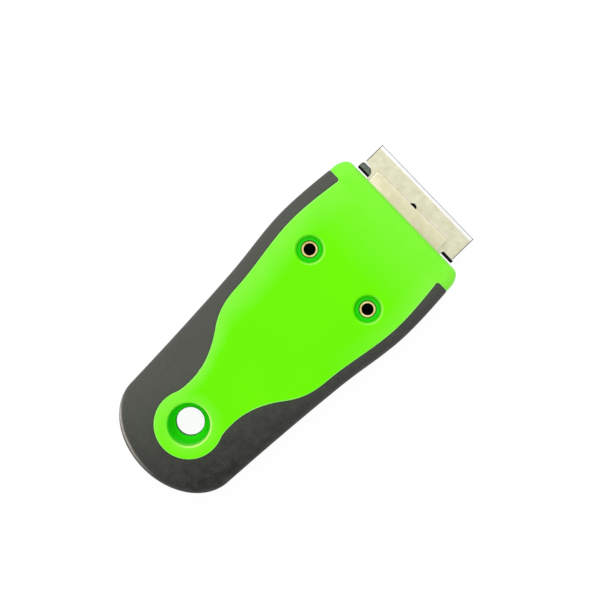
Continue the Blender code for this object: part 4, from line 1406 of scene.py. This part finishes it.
def rolled_steel():
    """Rolled sheet with a warm tint: clouded, finely grained, with a painted highlight on its rounded
    edges.
    """
    recipe = Recipe("rolled_steel", (207, 201, 166), metallic=1.0)
    recipe.paint(recipe.patches(0.0035, 0.35, 0.65, detail=4.0, rough=0.65), (216, 211, 181))
    recipe.paint(recipe.patches(0.0019, 0.6, 0.75, 0.0, 0.55, detail=4.0, rough=0.7), (206, 186, 152))
    # Painted highlight: bright rounded edges.
    recipe.paint(recipe.marked("edge", 0.9), (250, 248, 234))
    grain = recipe.noise(0.00016, rough=0.6, stretch=(26.0, 1.0, 1.0))
    waves = recipe.noise(0.0011, detail=4.0)
    return recipe.finish(recipe.uneven(0.002, 0.36, 0.5), (grain, 0.12, 0.00002), (waves, 0.1, 0.00004))


def shaded_bed_steel():
    """Steel sheet painted dark as shade, streaked, with deeper painted shade on its edges, just in front
    of the handle and out beside the bed.
    """
    # Painted shade: the sheet is dark all over, as it lies in the shade under the blade.
    recipe = Recipe("shaded_bed_steel", (88, 95, 88), metallic=0.8, specular=0.4)
    recipe.paint(recipe.patches(0.0011, 0.35, 0.65, detail=4.0, rough=0.6), (118, 124, 116))
    streaks = recipe.patches(0.0007, 0.56, 0.7, 0.0, 0.7, rough=0.6, stretch=(1.0, 4.0, 1.0))
    recipe.paint(streaks, (152, 154, 142))
    # Painted shade: darker edges, and near black just in front of the handle and out beside the bed.
    recipe.paint(recipe.mark("edge"), (30, 31, 29))
    start, end = SHADE_IN_FRONT
    behind = recipe.spread(recipe.axis(1), FRONT_Y + start, FRONT_Y + end, 1.0, 0.0)
    aside = recipe.maths("ABSOLUTE", recipe.axis(0))
    under = recipe.spread(aside, BED_HALF_WIDTH + SHADE_BESIDE, BED_HALF_WIDTH)
    recipe.paint(recipe.maths("MAXIMUM", behind, under), (6, 6, 6))
    grain = recipe.noise(0.0005, detail=4.0)
    return recipe.finish(recipe.uneven(0.0015, 0.42, 0.6), (grain, 0.2, 0.00003))


def blade_steel():
    """Blade steel: clouded and finely grained, bright on the ground edge, with painted shade in a grey
    line along the very edge and at its sides.
    """
    recipe = Recipe("blade_steel", (206, 203, 174), metallic=1.0)
    recipe.paint(recipe.patches(0.003, 0.36, 0.64, detail=4.0, rough=0.65), (219, 217, 192))
    recipe.paint(recipe.patches(0.0014, 0.6, 0.75, 0.0, 0.4, detail=4.0, rough=0.7), (198, 188, 160))
    from_edge = recipe.maths("SUBTRACT", EDGE_Y, recipe.axis(1))
    ground = recipe.spread(from_edge, BLADE_BEVEL + GROUND_BLUR, BLADE_BEVEL - GROUND_BLUR)
    recipe.paint(ground, (236, 236, 234))
    # Painted shade: a grey line along the very edge, and darker grey along the sides.
    recipe.paint(recipe.spread(from_edge, *EDGE_SHADE_LINE), (176, 176, 182))
    from_side = recipe.maths("SUBTRACT", BLADE_HALF_WIDTH, recipe.maths("ABSOLUTE", recipe.axis(0)))
    recipe.paint(recipe.spread(from_side, *BLADE_SIDE_SHADE), (104, 104, 102))
    grain = recipe.noise(0.00012, rough=0.6, stretch=(22.0, 1.0, 1.0))
    marks = recipe.noise(0.00007, detail=2.0, rough=0.6, stretch=(1.0, 30.0, 1.0))
    relief = recipe.mix(ground, grain, marks)
    waves = recipe.noise(0.0012)
    return recipe.finish(recipe.uneven(0.002, 0.3, 0.44), (relief, 0.14, 0.00002), (waves, 0.08, 0.00004))


def seen_share(tree):
    """1 for rays from the camera, off metal or through glass, and 0 for the rest."""
    light = tree.nodes.new("ShaderNodeLightPath").outputs
    share = light["Is Camera Ray"]
    for name in ("Is Glossy Ray", "Is Transmission Ray"):
        larger = tree.nodes.new("ShaderNodeMath")
        larger.operation = "MAXIMUM"
        tree.links.new(share, larger.inputs[0])
        tree.links.new(light[name], larger.inputs[1])
        share = larger.outputs[0]
    return share


def floor_white():
    """The pale floor: plain white to the camera, to metal and to glass, but for a faint shadow."""
    recipe = Recipe("floor_white", specular=0.0)
    glow = recipe.add("ShaderNodeEmission", Color=tone(255, 255, 255), Strength=FLOOR_GLOW)
    shade = recipe.add("ShaderNodeBsdfDiffuse", Color=(*[FLOOR_SHADE] * 3, 1.0))
    both = recipe.add("ShaderNodeAddShader")
    recipe.feed(both.inputs[0], glow.outputs[0])
    recipe.feed(both.inputs[1], shade.outputs[0])
    plain = recipe.add("ShaderNodeBsdfDiffuse", Color=(*[FLOOR_PLAIN] * 3, 1.0))
    choice = recipe.add("ShaderNodeMixShader")
    recipe.feed(choice.inputs[0], seen_share(recipe.tree))
    recipe.feed(choice.inputs[1], plain.outputs[0])
    recipe.feed(choice.inputs[2], both.outputs[0])
    recipe.feed(recipe.tree.nodes["Material Output"].inputs["Surface"], choice.outputs[0])
    return recipe.material


def make_floor():
    """A floor under the back, with the object's shadow on it."""
    floor = bmesh.new()
    signs = ((-1, -1), (1, -1), (1, 1), (-1, 1))
    corners = [(x * FLOOR_HALF_WIDTH, y * FLOOR_HALF_WIDTH, FLOOR_Z) for x, y in signs]
    floor.faces.new([floor.verts.new(corner) for corner in corners])
    mesh = bpy.data.meshes.new("floor")
    floor.to_mesh(mesh)
    floor.free()
    mesh.materials.append(floor_white())
    piece = add_object("floor", mesh)


def add_key_lamp():
    """A soft square lamp, turned towards the object."""
    light = bpy.data.lights.new("key", "AREA")
    light.shape = "SQUARE"
    light.size = KEY_SIZE
    light.energy = KEY_WATTS
    lamp = add_object("key", light)
    lamp.location = KEY_PLACE
    lamp.rotation_euler = (-Vector(KEY_PLACE)).to_track_quat("-Z", "Y").to_euler()


def set_world():
    """Even light from all round, which the camera, metal and glass see as plain white."""
    world = bpy.data.worlds.new("studio")
    world.use_nodes = True
    tree = world.node_tree
    background = tree.nodes["Background"]
    background.inputs["Color"].default_value = tone(255, 255, 255)
    strength = tree.nodes.new("ShaderNodeMapRange")
    tree.links.new(seen_share(tree), strength.inputs["Value"])
    strength.inputs["To Min"].default_value = WORLD_LEVEL
    tree.links.new(strength.outputs[0], background.inputs["Strength"])
    bpy.context.scene.world = world


def set_stage():
    set_world()
    make_floor()
    add_key_lamp()
    camera = bpy.data.cameras.new("camera")
    camera.lens = CAMERA_LENS
    camera.sensor_width = SENSOR_WIDTH
    camera.clip_start = 0.01
    eye = add_object("camera", camera)
    eye.location = CAMERA_PLACE
    eye.rotation_euler = Euler([math.radians(turn) for turn in CAMERA_TURNS], "XYZ")
    bpy.context.scene.camera = eye
    bpy.context.scene.view_settings.view_transform = "Standard"


def main():
    green = lime_plastic()
    rubber = charcoal_rubber()
    brass = turned_brass()
    black = black_oxide()
    zinc = zinc_plate()
    steel = rolled_steel()
    for side in (1, -1):
        make_shell(side, green)
        make_grip(side, rubber)
    for name, side in SIDES:
        make_insert(name, side, brass)
        make_screw(name, side, black)
        make_washer(name, side, zinc)
    make_upper_plate(steel)
    make_lower_plate(shaded_bed_steel())
    make_blade(blade_steel())
    make_spine(steel)
    set_stage()


main()
